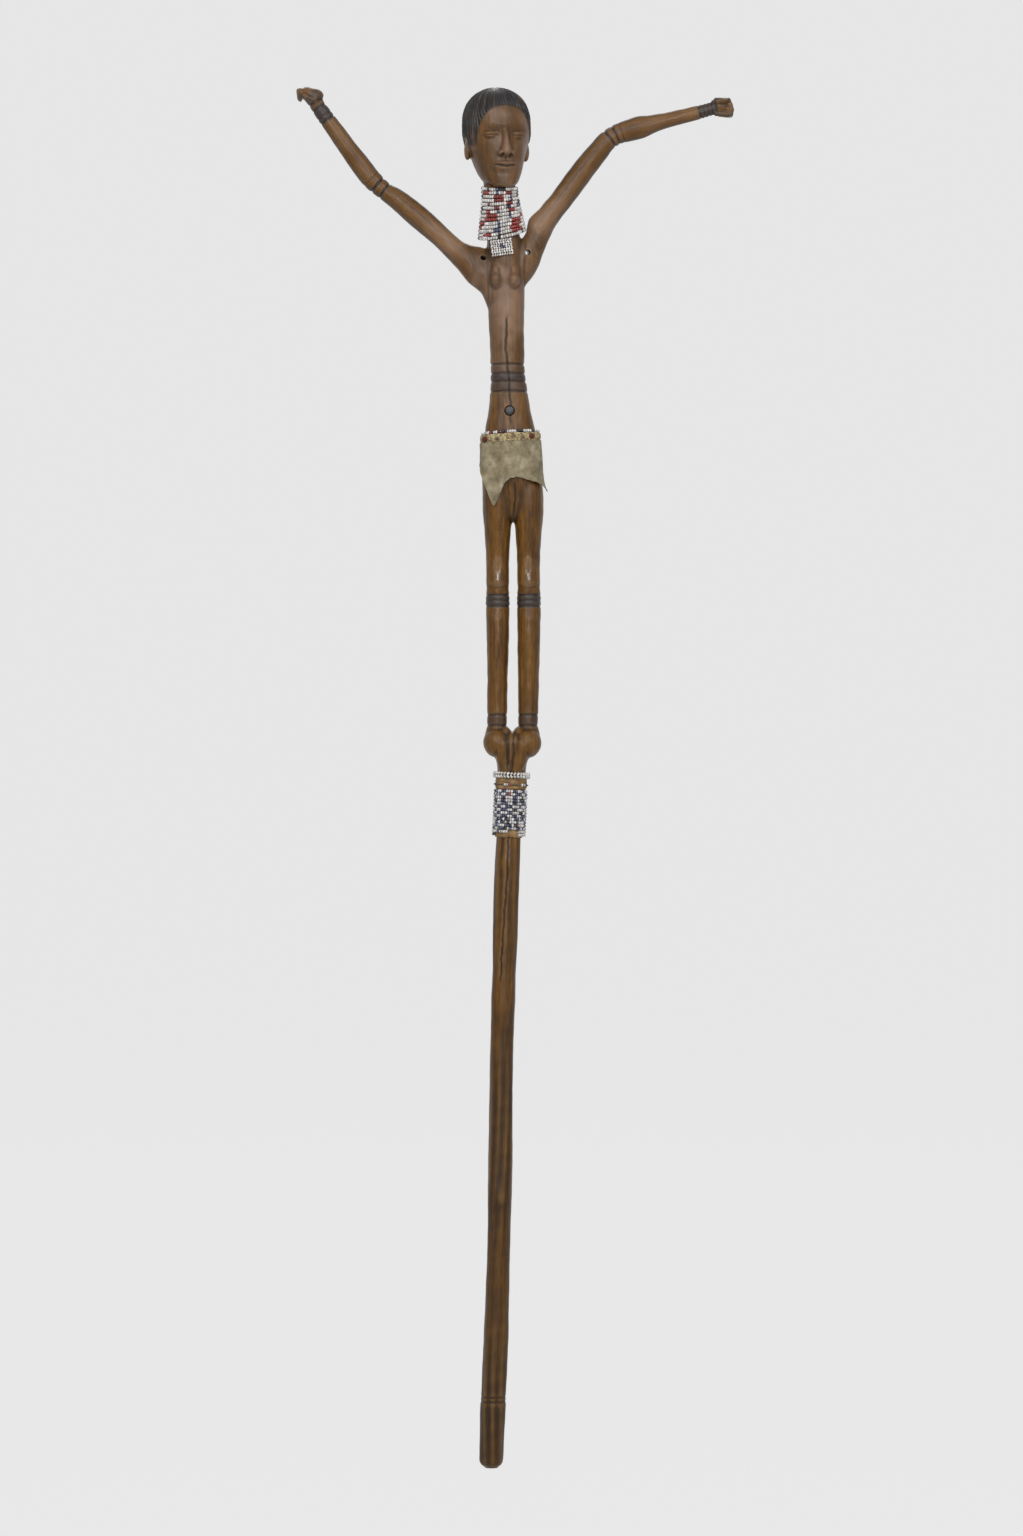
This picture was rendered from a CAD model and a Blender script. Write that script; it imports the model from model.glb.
# %% [markdown]
# A carved figure staff, dressed in beads and hide
#
# The object is a ceremonial staff about one metre long. Its upper half is a standing figure with
# both arms raised, cut with the shaft from one forked trunk. Strings of glass seed beads are wound
# round the neck, the waist and the shaft below the feet, and a small hide apron hangs at the hips.
# We load the measured frame first, because every piece below is made in its coordinates:
# metres, +Z up, and the figure looks along -Y. The tables in this script are in millimetres.

# %% Load the frame
import math
import bpy
import numpy as np
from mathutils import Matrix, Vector


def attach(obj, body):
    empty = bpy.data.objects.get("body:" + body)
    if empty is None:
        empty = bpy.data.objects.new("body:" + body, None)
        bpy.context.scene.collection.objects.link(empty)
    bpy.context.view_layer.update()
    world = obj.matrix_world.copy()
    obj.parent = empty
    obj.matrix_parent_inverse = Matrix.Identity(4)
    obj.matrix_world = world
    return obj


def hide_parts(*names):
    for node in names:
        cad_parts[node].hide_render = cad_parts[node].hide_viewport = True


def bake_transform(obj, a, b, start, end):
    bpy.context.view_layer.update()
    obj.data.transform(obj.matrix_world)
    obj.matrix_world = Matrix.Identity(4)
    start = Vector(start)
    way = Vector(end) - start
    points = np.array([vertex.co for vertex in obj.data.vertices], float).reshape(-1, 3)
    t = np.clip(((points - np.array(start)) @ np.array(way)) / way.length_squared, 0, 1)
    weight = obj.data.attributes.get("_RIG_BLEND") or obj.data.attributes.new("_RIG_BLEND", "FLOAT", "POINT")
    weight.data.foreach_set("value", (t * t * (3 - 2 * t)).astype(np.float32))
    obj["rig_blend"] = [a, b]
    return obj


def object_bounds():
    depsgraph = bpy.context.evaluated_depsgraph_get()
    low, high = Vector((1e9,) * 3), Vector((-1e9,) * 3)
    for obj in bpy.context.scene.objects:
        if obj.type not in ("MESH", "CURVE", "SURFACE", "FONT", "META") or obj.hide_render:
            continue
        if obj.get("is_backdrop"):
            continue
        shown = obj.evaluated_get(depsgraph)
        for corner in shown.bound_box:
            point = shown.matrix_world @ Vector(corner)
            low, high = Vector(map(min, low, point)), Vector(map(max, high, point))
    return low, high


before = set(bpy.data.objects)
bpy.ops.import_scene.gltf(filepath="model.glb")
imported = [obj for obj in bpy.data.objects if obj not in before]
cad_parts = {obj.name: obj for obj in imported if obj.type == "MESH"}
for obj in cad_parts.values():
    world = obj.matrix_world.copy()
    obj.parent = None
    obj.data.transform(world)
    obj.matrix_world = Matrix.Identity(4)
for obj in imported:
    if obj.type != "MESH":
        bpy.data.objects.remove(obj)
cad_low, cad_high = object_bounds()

MM = 0.001

# %% [markdown]
# Small helpers
#
# Colours are picked as sRGB hex values, as a paint chip would give them, and the renderer wants
# linear ones, so a single function converts them. A second one turns arrays of points and faces
# into a mesh object that stays at the origin.


# %% Helpers for colours and meshes
def colour(hex_value):
    """sRGB hex text to a linear colour with full opacity."""
    parts = [int(hex_value[i : i + 2], 16) / 255 for i in (1, 3, 5)]
    linear = [p / 12.92 if p <= 0.04045 else ((p + 0.055) / 1.055) ** 2.4 for p in parts]
    return (*linear, 1.0)


def mesh_object(name, points, faces, edges=()):
    """An object at the origin from points in metres."""
    mesh = bpy.data.meshes.new(name)
    mesh.from_pydata(
        [tuple(map(float, p)) for p in points], list(edges), [tuple(map(int, f)) for f in faces]
    )
    mesh.validate()
    made = bpy.data.objects.new(name, mesh)
    bpy.context.scene.collection.objects.link(made)
    return made


def baked(made, name):
    """Applies an object's modifiers: a plain mesh under a new name takes its place."""
    bpy.context.view_layer.update()
    graph = bpy.context.evaluated_depsgraph_get()
    mesh = bpy.data.meshes.new_from_object(made.evaluated_get(graph), depsgraph=graph)
    mesh.name = name
    plain = bpy.data.objects.new(name, mesh)
    bpy.context.scene.collection.objects.link(plain)
    old = made.data
    bpy.data.objects.remove(made)
    bpy.data.meshes.remove(old)
    return plain


def shade_smooth(made):
    """Shades all faces of an object as one smooth surface."""
    made.data.polygons.foreach_set("use_smooth", np.ones(len(made.data.polygons), bool))
    made.data.update()


def face_count(made):
    """How many triangles an object's mesh comes to."""
    made.data.calc_loop_triangles()
    return len(made.data.loop_triangles)


# %% [markdown]
# The camera
#
# A staff this long is photographed from some way off, with a long lens, so that its parallel
# sides stay parallel. The lens follows from the height that the frame has to hold.

# %% Camera
VIEW_HEIGHT = 1111.5 * MM  # what the long side of the frame takes in
VIEW_CENTRE = Vector((14.5 * MM, 0, 506.2 * MM))
CAMERA_DISTANCE = 3.5

camera_data = bpy.data.cameras.new("studio_camera")
camera_data.sensor_width = 36
camera_data.lens = 36 * CAMERA_DISTANCE / VIEW_HEIGHT
camera = bpy.data.objects.new("studio_camera", camera_data)
camera.location = VIEW_CENTRE + Vector((0, -CAMERA_DISTANCE, 0))
camera.rotation_euler = (math.pi / 2, 0, 0)
bpy.context.scene.collection.objects.link(camera)
bpy.context.scene.camera = camera
print("lens", round(camera_data.lens, 1), "mm")

# %% [markdown]
# Light
#
# The wood is dark and polished, so its roundness reads mostly from soft reflections. Two tall
# panels stand left and right of the camera and model the limbs. A high one lights the shoulders,
# a wide one behind the camera puts the shine on the knees and the forehead, and one at the back
# shows the far side when the staff is turned. An even surrounding light does the rest.

# %% Lamps and world
scene = bpy.context.scene
scene.view_settings.view_transform = "Standard"
WORLD_LEVEL = 0.2


def soft_panel(name, place, target, width, height, power):
    """A rectangular lamp that faces its target."""
    data = bpy.data.lights.new(name, "AREA")
    data.shape = "RECTANGLE"
    data.size = width
    data.size_y = height
    data.energy = power
    lamp = bpy.data.objects.new(name, data)
    lamp.location = place
    lamp.rotation_euler = (Vector(target) - Vector(place)).to_track_quat("-Z", "Y").to_euler()
    scene.collection.objects.link(lamp)


LAMP_TARGET = (0.01, 0, 0.6)
PANELS = (  # name, place and size in metres, power in watts
    ("left_panel", (-1.18, -2.43, 2.0), 0.3, 1.2, 19),
    ("right_panel", (1.18, -2.43, 2.0), 0.3, 1.2, 19),
    ("high_panel", (0.0, -1.9, 2.6), 1.6, 1.0, 8),
    ("front_panel", (0.0, -4.4, 1.4), 1.3, 0.9, 42),
    ("back_panel", (0.0, 2.6, 2.8), 1.4, 1.0, 12),
)
for name, place, width, height, power in PANELS:
    soft_panel(name, place, LAMP_TARGET, width, height, power)
print("lamps:", len(PANELS))

# %% [markdown]
# Adding nodes
#
# Materials and geometry trees are both built from nodes, and one small function adds any of them:
# it sets the node's options and fills its inputs with plain values or with links. A material is
# then a list of lines that each say what node, what settings, and what feeds it.


# %% The node helper
PER_MM = (1000, 1000, 1000)  # a mapping's scale that makes 1 mm one unit


def node(tree, kind, inputs=None, stops=(), **settings):
    """Adds a node. An input is a value, a socket, or a node, which gives its first live output."""
    made = tree.nodes.new(kind)
    for key, value in settings.items():
        setattr(made, key, value)
    for index, (place, shade) in enumerate(stops):
        cells = made.color_ramp.elements
        cell = cells[index] if index < len(cells) else cells.new(place)
        cell.position, cell.color = place, shade
    for key, value in (inputs or {}).items():
        if isinstance(value, bpy.types.Node):
            value = next(socket for socket in value.outputs if socket.enabled)
        if isinstance(value, bpy.types.NodeSocket):
            tree.links.new(value, made.inputs[key])
        else:
            made.inputs[key].default_value = value
    return made


def new_material(name, **surface):
    """A material and its shader, with the plain values that hold all over it."""
    made = bpy.data.materials.new(name)
    made.use_nodes = True
    shader = made.node_tree.nodes["Principled BSDF"]
    for key, value in surface.items():
        shader.inputs[key.replace("_", " ")].default_value = value
    return made, made.node_tree, shader


# %% [markdown]
# The backdrop
#
# The staff stands in a wide shallow bowl of pale paper, flat in the middle and rising all round,
# so that it can be looked at from any side. The camera and mirror-like reflections see the paper
# at its own plain colour, and it still takes a soft shadow.

# %% Paper bowl
PAPER_COLOUR = colour("#e8e8e8")
paper, tree, shader = new_material("pale_backdrop_paper", Base_Color=PAPER_COLOUR, Roughness=0.9)
glow = node(tree, "ShaderNodeEmission", {"Color": colour("#ebebeb"), "Strength": 1.0})
rays = node(tree, "ShaderNodeLightPath").outputs
seen = node(
    tree, "ShaderNodeMath", {0: rays["Is Camera Ray"], 1: rays["Is Glossy Ray"]}, operation="MAXIMUM"
)
share = node(tree, "ShaderNodeMath", {0: seen, 1: 0.94}, operation="MULTIPLY")
blend = node(tree, "ShaderNodeMixShader", {0: share, 1: shader, 2: glow})
tree.links.new(blend.outputs[0], tree.nodes["Material Output"].inputs["Surface"])

world = bpy.data.worlds.new("soft_studio")
world.use_nodes = True
world.node_tree.nodes["Background"].inputs["Strength"].default_value = 1.0
rays = node(world.node_tree, "ShaderNodeLightPath").outputs
seen = node(
    world.node_tree,
    "ShaderNodeMath",
    {0: rays["Is Camera Ray"], 1: rays["Is Glossy Ray"]},
    operation="MAXIMUM",
)
sky = node(
    world.node_tree,
    "ShaderNodeMix",
    {0: seen, 6: (WORLD_LEVEL,) * 3 + (1,), 7: PAPER_COLOUR},
    data_type="RGBA",
)
world.node_tree.links.new(sky.outputs[2], world.node_tree.nodes["Background"].inputs["Color"])
scene.world = world

BOWL_FLAT, BOWL_BEND, BOWL_SIDES = 7.0, 3.0, 96
bowl_line = [(0.02, 0.0), (2.0, 0.0), (4.5, 0.0)]
for step in range(17):
    turn = math.pi / 2 * step / 16
    bowl_line.append((BOWL_FLAT + BOWL_BEND * math.sin(turn), BOWL_BEND * (1 - math.cos(turn))))
bowl_points, bowl_faces = [], []
for radius, height in bowl_line:
    for side in range(BOWL_SIDES):
        turn = 2 * math.pi * side / BOWL_SIDES
        bowl_points.append((radius * math.cos(turn), radius * math.sin(turn), height - 0.0004))
for row in range(len(bowl_line) - 1):
    for side in range(BOWL_SIDES):
        after = (side + 1) % BOWL_SIDES
        low, high = row * BOWL_SIDES, (row + 1) * BOWL_SIDES
        bowl_faces.append((low + side, high + side, high + after, low + after))
bowl_faces.append(tuple(range(BOWL_SIDES)))
bowl = mesh_object("backdrop_bowl", bowl_points, bowl_faces)
shade_smooth(bowl)
bowl.data.materials.append(paper)
bowl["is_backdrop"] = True
print("backdrop ready")

# %% [markdown]
# The carving: how a smooth trunk is drawn
#
# The carver worked from round branches to finished limbs. We do the same: each limb is a skin
# laid through a table of stations, and the skins are then melted into one body with a voxel
# remesh, as fresh clay would be. A monotone curve between the stations keeps the limbs from
# bulging where the table has a sharp change.


# %% Lofting helpers
def through(places, values, at):
    """A smooth curve through a table's rows that never overshoots them (monotone cubic)."""
    places = np.asarray(places, float)
    values = np.asarray(values, float).reshape(len(places), -1)
    gap = np.diff(places)[:, None]
    slope = np.diff(values, axis=0) / gap
    rate = np.zeros_like(values)
    same = slope[1:] * slope[:-1] > 0
    one = 2 * gap[1:] + gap[:-1]
    other = gap[1:] + 2 * gap[:-1]
    safe = [np.where(same, s, 1) for s in (slope[:-1], slope[1:])]
    rate[1:-1] = np.where(same, (one + other) / (one / safe[0] + other / safe[1]), 0)
    rate[0], rate[-1] = slope[0], slope[-1]
    at = np.asarray(at, float)
    k = np.clip(np.searchsorted(places, at, side="right") - 1, 0, len(places) - 2)
    t = np.clip((at - places[k]) / gap[k, 0], 0, 1)[:, None]
    return (
        (2 * t**3 - 3 * t**2 + 1) * values[k]
        + (t**3 - 2 * t**2 + t) * gap[k] * rate[k]
        + (3 * t**2 - 2 * t**3) * values[k + 1]
        + (t**3 - t**2) * gap[k] * rate[k + 1]
    )


def tube(centres, across, deep, sides=40, power=2.0):
    """A closed skin: rings with two half axes each, rounder or squarer by its power."""
    angle = np.arange(sides) * 2 * math.pi / sides
    c, s = np.cos(angle), np.sin(angle)
    c = np.sign(c) * np.abs(c) ** (2 / power)
    s = np.sign(s) * np.abs(s) ** (2 / power)
    rings = centres[:, None] + across[:, None] * c[None, :, None] + deep[:, None] * s[None, :, None]
    count = len(centres)
    points = np.vstack([rings.reshape(-1, 3), centres[:1], centres[-1:]])
    faces = []
    for row in range(count - 1):
        for i in range(sides):
            a, b = row * sides + i, row * sides + (i + 1) % sides
            faces.append((a, a + sides, b + sides, b))
    low, high = count * sides, count * sides + 1
    last = (count - 1) * sides
    faces += [(low, i, (i + 1) % sides) for i in range(sides)]
    faces += [(high, last + (i + 1) % sides, last + i) for i in range(sides)]
    return points, faces


def egg(centre, halves, turn=0.0, sides=20):
    """An ellipsoid, turned about the vertical."""
    rows = sides // 2
    v = np.linspace(-1, 1, rows + 1) * math.pi / 2
    ring = np.cos(v)
    cos, sin = math.cos(turn), math.sin(turn)
    centres = np.array([centre] * (rows + 1), float)
    centres[:, 2] += np.sin(v) * halves[2]
    across = np.outer(ring, (halves[0] * cos, halves[0] * sin, 0))
    deep = np.outer(ring, (halves[1] * sin, -halves[1] * cos, 0))
    return tube(centres[1:-1], across[1:-1], deep[1:-1], sides)


def capsule(start, end, radius, sides=14, tip=1.0):
    """A finger: a round rod with domed ends, its far end scaled by tip."""
    start, end = np.array(start, float), np.array(end, float)
    along = end - start
    length = np.linalg.norm(along)
    along /= length
    side = np.cross(along, (0.0, 1.0, 0.0))
    side = side / np.linalg.norm(side)
    other = np.cross(along, side)
    steps = [(-math.cos(a), math.sin(a)) for a in np.linspace(0.15, math.pi / 2, 5)]
    places = [(r * radius, w, 1.0) for r, w in steps]
    places += [(length - r * radius, w, tip) for r, w in reversed(steps)]
    centres = np.array([start + along * p for p, _, _ in places])
    widths = np.array([w * t * radius for _, w, t in places])
    return tube(centres, widths[:, None] * side, widths[:, None] * other, sides)


def skin_object(name, skin):
    """One skin, in mm, as an object."""
    return mesh_object(name, np.asarray(skin[0]) * MM, skin[1])


def melted(name, skins, voxel):
    """Melts overlapping closed skins (in mm) into one body and returns its object."""
    points, faces, start = [], [], 0
    for skin_points, skin_faces in skins:
        points.append(np.asarray(skin_points) * MM)
        faces += [tuple(i + start for i in face) for face in skin_faces]
        start += len(skin_points)
    made = mesh_object(name + "_skins", np.vstack(points), faces)
    remesh = made.modifiers.new("Melt", "REMESH")
    remesh.mode = "VOXEL"
    remesh.voxel_size = voxel * MM
    return baked(made, name)


def read_points(made):
    """The vertices in millimetres."""
    flat = np.empty(len(made.data.vertices) * 3, np.float32)
    made.data.vertices.foreach_get("co", flat)
    return flat.reshape(-1, 3).astype(float) / MM


def write_points(made, points):
    """Moves the vertices to new places in millimetres."""
    made.data.vertices.foreach_set("co", (points * MM).astype(np.float32).ravel())
    made.data.update()


def point_normals(made):
    """The direction in which each vertex faces."""
    flat = np.empty(len(made.data.vertices) * 3, np.float32)
    made.data.vertex_normals.foreach_get("vector", flat)
    return flat.reshape(-1, 3).astype(float)


def edge_ends(made):
    """The two vertex numbers of each edge."""
    flat = np.empty(len(made.data.edges) * 2, np.int32)
    made.data.edges.foreach_get("vertices", flat)
    return flat.reshape(-1, 2)


def neighbour_mean(values, ends, count):
    """The mean of each vertex's neighbours, for one or several columns."""
    values = values.reshape(count, -1)
    total = np.zeros_like(values)
    for column in range(values.shape[1]):
        total[:, column] = np.bincount(ends[:, 0], values[ends[:, 1], column], count)
        total[:, column] += np.bincount(ends[:, 1], values[ends[:, 0], column], count)
    degree = np.bincount(ends.ravel(), minlength=count)[:, None]
    return total / np.maximum(degree, 1)


def relax(made, times, weight=None):
    """Rubs a mesh smooth, like sandpaper, more where the weight is higher."""
    points, ends = read_points(made), edge_ends(made)
    share = 0.5 if weight is None else 0.5 * weight(points)[:, None]
    for _ in range(times):
        points += (neighbour_mean(points, ends, len(points)) - points) * share
    write_points(made, points)


def carve(made, depth_at):
    """Moves each vertex along its normal by a depth in millimetres: a chisel, or added wax."""
    points = read_points(made)
    normals = point_normals(made)
    write_points(made, points + normals * depth_at(points, normals)[:, None])


def bell(x, middle, width):
    """1 at the middle, falling smoothly to 0 within about two widths on each side."""
    return np.exp(-(((x - middle) / width) ** 2))


def step_up(x, middle, width):
    """0 below, 1 above, and a soft rise of about that width between."""
    return 1 / (1 + np.exp(-np.clip((x - middle) * 4 / width, -60, 60)))


def store(made, name, values):
    """Keeps one number or one vector for each vertex, for the material to read."""
    vector = values.ndim == 2
    kept = made.data.attributes.new(name, "FLOAT_VECTOR" if vector else "FLOAT", "POINT")
    kept.data.foreach_set("vector" if vector else "value", values.astype(np.float32).ravel())


def hills(points, size, seed):
    """Slow, rounded ups and downs between -1 and 1, the same each time."""
    dice = np.random.default_rng(seed)
    total = np.zeros(len(points))
    for _ in range(7):
        direction = dice.normal(size=3)
        direction /= np.linalg.norm(direction)
        total += np.sin(
            points @ direction * 2 * math.pi / (size * dice.uniform(0.7, 1.5)) + dice.uniform(0, 6.3)
        )
    return total / 4


# %% [markdown]
# The grown line of the wood
#
# The staff follows the branch it was cut from, so nothing in it is quite straight. One table gives
# how far the heart of the wood stands to the side at each height, and all pieces use it.

# %% The lean of the trunk
LEAN = [
    (0, 0), (5, -0.3), (46, 1.3), (92, 3.4), (165, 5.4), (229, 6.6), (300, 7.4), (365, 9.3), (410, 10.6),
    (456, 12.4), (500, 14.4), (535, 15.2), (600, 15.8), (700, 15.6), (740, 13.9), (770, 12.9), (800, 11.6),
    (830, 10.9), (875, 10.4), (890, 8.9), (905, 6.9), (926, 5.9), (998, 3.8),
]


def lean(height):
    """Sideways place of the wood's heart, in mm, at one height or at many."""
    table = np.array(LEAN, float)
    return np.interp(height, table[:, 0], table[:, 1])


def upright(rows, count, sides=48, power=2.0, shift=0.0):
    """A limb that stands: rows of height, half-width, half-depth and how far it sits forward."""
    rows = np.array([(*row, 0.0)[:4] if len(row) == 3 else row for row in rows], float)
    heights = np.linspace(rows[0, 0], rows[-1, 0], count)
    width, depth, forward = through(rows[:, 0], rows[:, 1:4], heights).T
    centres = np.stack([lean(heights) + shift, -forward, heights], 1)
    across = np.stack([width, np.zeros(count), np.zeros(count)], 1)
    deep = np.stack([np.zeros(count), -depth, np.zeros(count)], 1)
    return tube(centres, across, deep, sides, power)


print("heart of the wood at mid height:", round(float(lean(500)), 1), "mm to the side")

# %% [markdown]
# The shaft
#
# The lower half is a plain rod, rounded by hand with a knife, and its faceted tip is cut flat so
# that it stands. It needs no melting: a single smooth skin with many rings takes the knife's
# flats, the branch knots and the long drying crack as small moves of its vertices.

# %% Shaft
SHAFT = [
    (0, 4.6, 4.6), (0.6, 5.1, 5.1), (2.4, 7.3, 7.2), (5, 8.5, 8.4), (6.5, 8.7, 8.6), (30, 8.85, 8.65),
    (45.7, 9.0, 8.7), (48.5, 8.7, 8.44), (91.3, 9.05, 8.78), (114, 8.7, 8.44), (164, 8.31, 8.06),
    (228, 8.7, 8.44), (283, 8.53, 8.27), (324, 8.6, 8.35), (340, 8.96, 8.69), (356, 8.53, 8.27),
    (383, 9.05, 8.78), (438, 8.96, 8.69), (456, 8.6, 8.4),
    (488, 8.5, 8.5),
]
SHAFT_KNOTS = ((438, 10.4, 4.5, 0.9), (196, 6.3, 3.5, 0.7), (330, 10.5, 6, 0.5))  # height, x, size, rise
TIP_RINGS = (51.5, 48.2)
# the drying cracks, as rows of height and x
TORSO_CRACK = [(832, 11.3), (808, 10.2), (790, 12.4), (776, 13.2), (768, 13.9), (754, 13.9)]
SHAFT_CRACK = [(459, 12.4), (430, 11.6), (400, 9.3), (372, 7.4), (352, 6.6)]
HIP_CRACK = [(713, 17.2), (700, 17.0), (688, 16.0)]
FEET_CRACK = [(514, 12.3), (509, 12.3), (504, 12.0)]


def crack_nearness(points, line, width, front_only=True):
    """1 on a drying crack that runs down the front, falling to 0 over its width, thin at its ends."""
    line = np.array(line, float)[::-1]
    height = points[:, 2]
    place = (
        np.interp(height, line[:, 0], line[:, 1])
        + 0.12 * np.sin(height * 0.9)
        + 0.2 * np.sin(height * 0.37)
    )
    low, high = line[0, 0], line[-1, 0]
    ends = step_up(height, low + 2, 4) * (1 - step_up(height, high - 2, 4))
    near = bell(points[:, 0], place, width) * ends
    return near * (points[:, 1] < 0) if front_only else near


def shaft_depth(points, normals):
    """Knife flats, knots and a long crack, in mm along the surface's normal."""
    height = points[:, 2]
    around = np.arctan2(normals[:, 1], normals[:, 0])
    flats = 0.16 * np.cos(around * 9 + 3 * np.sin(height / 57)) * (0.6 + 0.4 * np.sin(height / 31))
    depth = flats + 0.22 * hills(points, 60, 3) + 0.1 * hills(points, 14, 4)
    front = step_up(-normals[:, 1], 0.1, 0.4)
    for level, place, size, rise in SHAFT_KNOTS:
        depth += rise * bell(height, level, size * 1.8) * bell(points[:, 0], place, size) * front
    for level in TIP_RINGS:
        depth -= 0.28 * bell(height, level, 0.7)
    depth -= 0.75 * crack_nearness(points, SHAFT_CRACK, 0.55)
    return depth * step_up(height, 3, 3)


rows = np.array(SHAFT, float)
heights = np.concatenate([np.linspace(0, 8, 24)[:-1], np.linspace(8, 488, 420)])
half_width, half_depth = through(rows[:, 0], rows[:, 1:], heights).T
none = np.zeros(len(heights))
shaft = skin_object(
    "carved_shaft",
    tube(
        np.stack([lean(heights), none, heights], 1),
        np.stack([half_width, none, none], 1),
        np.stack([none, -half_depth, none], 1),
        72,
    ),
)
carve(shaft, shaft_depth)
print("shaft:", face_count(shaft), "triangles")

# %% [markdown]
# Hips, legs and feet
#
# The legs are two straight posts with a long slot between them, rings cut round the knees and the
# ankles, and rounded feet that end in the shaft. The carver left the feet as two bulbs with a
# ridge between them. The skins overlap, and the melting joins them.

# %% Hips, legs and feet
HIPS = [
    (684.5, 14, 5.5), (688, 18.5, 8.6), (694, 20.8, 11.4), (702, 21.7, 13.8), (715, 21.8, 15.9),
    (730, 20.7, 15.5), (740, 19.7, 14.9), (747, 18.4, 14.2),
]
LEG = [
    (522, 9.4, 9.0, 0), (529, 9.0, 8.8, 0), (533.4, 8.1, 8.1, 0), (537, 7.2, 7.7, 0), (549, 7.3, 7.8, 0),
    (576, 7.65, 8.5, 0.3), (597, 8.15, 9.2, 0.7), (613, 8.6, 9.4, 0.7), (621, 8.7, 9.2, 0),
    (627, 8.8, 9.1, 0), (632, 8.5, 8.9, -0.3), (636, 8.0, 8.4, 0.9), (640, 8.3, 8.9, 2.0),
    (647, 8.35, 9.2, 2.1), (653, 8.3, 9.1, 1.2), (660, 8.5, 9.7, 0), (676, 9.5, 11.6, 0),
    (688, 10.7, 13.4, 0), (698, 11.0, 14.4, 0), (712, 10.6, 14.0, 0),
]
ANKLE = [
    (492, 10.0, 10.0), (500, 10.1, 10.1), (506, 10.4, 10.3), (511, 11.3, 10.7), (515, 13.1, 11.6),
    (519, 15.4, 12.7), (524, 15.0, 13.0), (527, 12.6, 12.0), (530, 8.0, 10.0), (532, 3.0, 7.0),
]
LEG_SPACING = 22.4
FOOT_HEIGHT = 524.5
LEG_RINGS = (  # height, depth and width of each cut at the knees and the ankles
    (631.2, 0.5, 0.65), (627.3, 0.4, 0.6), (623.2, 0.55, 0.65), (544.6, 0.5, 0.65), (537, 0.6, 0.7),
)
LEG_VOXEL, TORSO_VOXEL, HEAD_VOXEL = 0.72, 0.70, 0.56  # mm: the finest forms get the finest clay
skins = [upright(HIPS, 60, 64, 2.2), upright(ANKLE, 40, 48)]
for side in (-1, 1):
    skins.append(upright(LEG, 120, 40, 2.1, side * LEG_SPACING / 2))
    middle = lean(FOOT_HEIGHT)
    skins.append(egg((middle + side * 11.0, -2.6, FOOT_HEIGHT), (10.1, 12.0, 10.8), 0.0, 32))
    skins.append(egg((middle + side * 5.6, -1.0, 531.3), (5.1, 8.6, 5.2), 0.0, 24))
    skins.append(
        capsule((middle + side * 8.0, -8.8, 523), (middle - 1 + side * 3.6, -6.6, 505), 5.9, 24, 0.85)
    )
legs = melted("carved_hips_legs_feet", skins, LEG_VOXEL)
relax(legs, 6)
relax(legs, 30, lambda points: bell(points[:, 2], 703, 17))


def leg_depth(points, normals):
    """Rings at knee and ankle, the kneecaps, the grooves between the feet, and the adze's flats."""
    x, height = points[:, 0], points[:, 2]
    depth = 0.25 * hills(points, 34, 11) + 0.12 * hills(points, 9, 12)
    on_leg = step_up(height, 531, 2) * (1 - step_up(height, 680, 8))
    for level, deep, width in LEG_RINGS:
        depth -= deep * bell(height, level, width) * on_leg
    leg_side = np.abs(x - lean(height)) - LEG_SPACING / 2
    front = step_up(-normals[:, 1], 0.1, 0.4)
    depth += 1.0 * bell(leg_side, 0, 5.0) * bell(height, 639.5, 6) * front
    depth -= 0.35 * bell(height, 636.6 + 0.035 * leg_side**2, 1.1) * bell(leg_side, 0, 5.5) * front
    middle = lean(height)
    for place, level in ((-2.9, 517), (0.9, 521)):
        depth -= 0.8 * bell(x, middle + place, 0.8) * bell(height, level, 9) * (points[:, 1] < 0)
    depth += 0.5 * bell(x, middle - 0.9, 0.9) * bell(height, 518, 8) * (points[:, 1] < 0)
    depth -= 0.8 * crack_nearness(points, FEET_CRACK, 0.6) + 0.6 * crack_nearness(points, HIP_CRACK, 0.6)
    return depth


carve(legs, leg_depth)
relax(legs, 1)
print("hips, legs and feet:", face_count(legs), "triangles")

# %% [markdown]
# Torso and arms
#
# The arms are the fork of the branch: they leave the trunk as flat webs and taper to the hands.
# Each arm is a skin along a bent line, so its table also holds the direction in which the section
# lies. The hands are closed, four fingers and a thumb, and the figure's breasts are two long drops.

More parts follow.
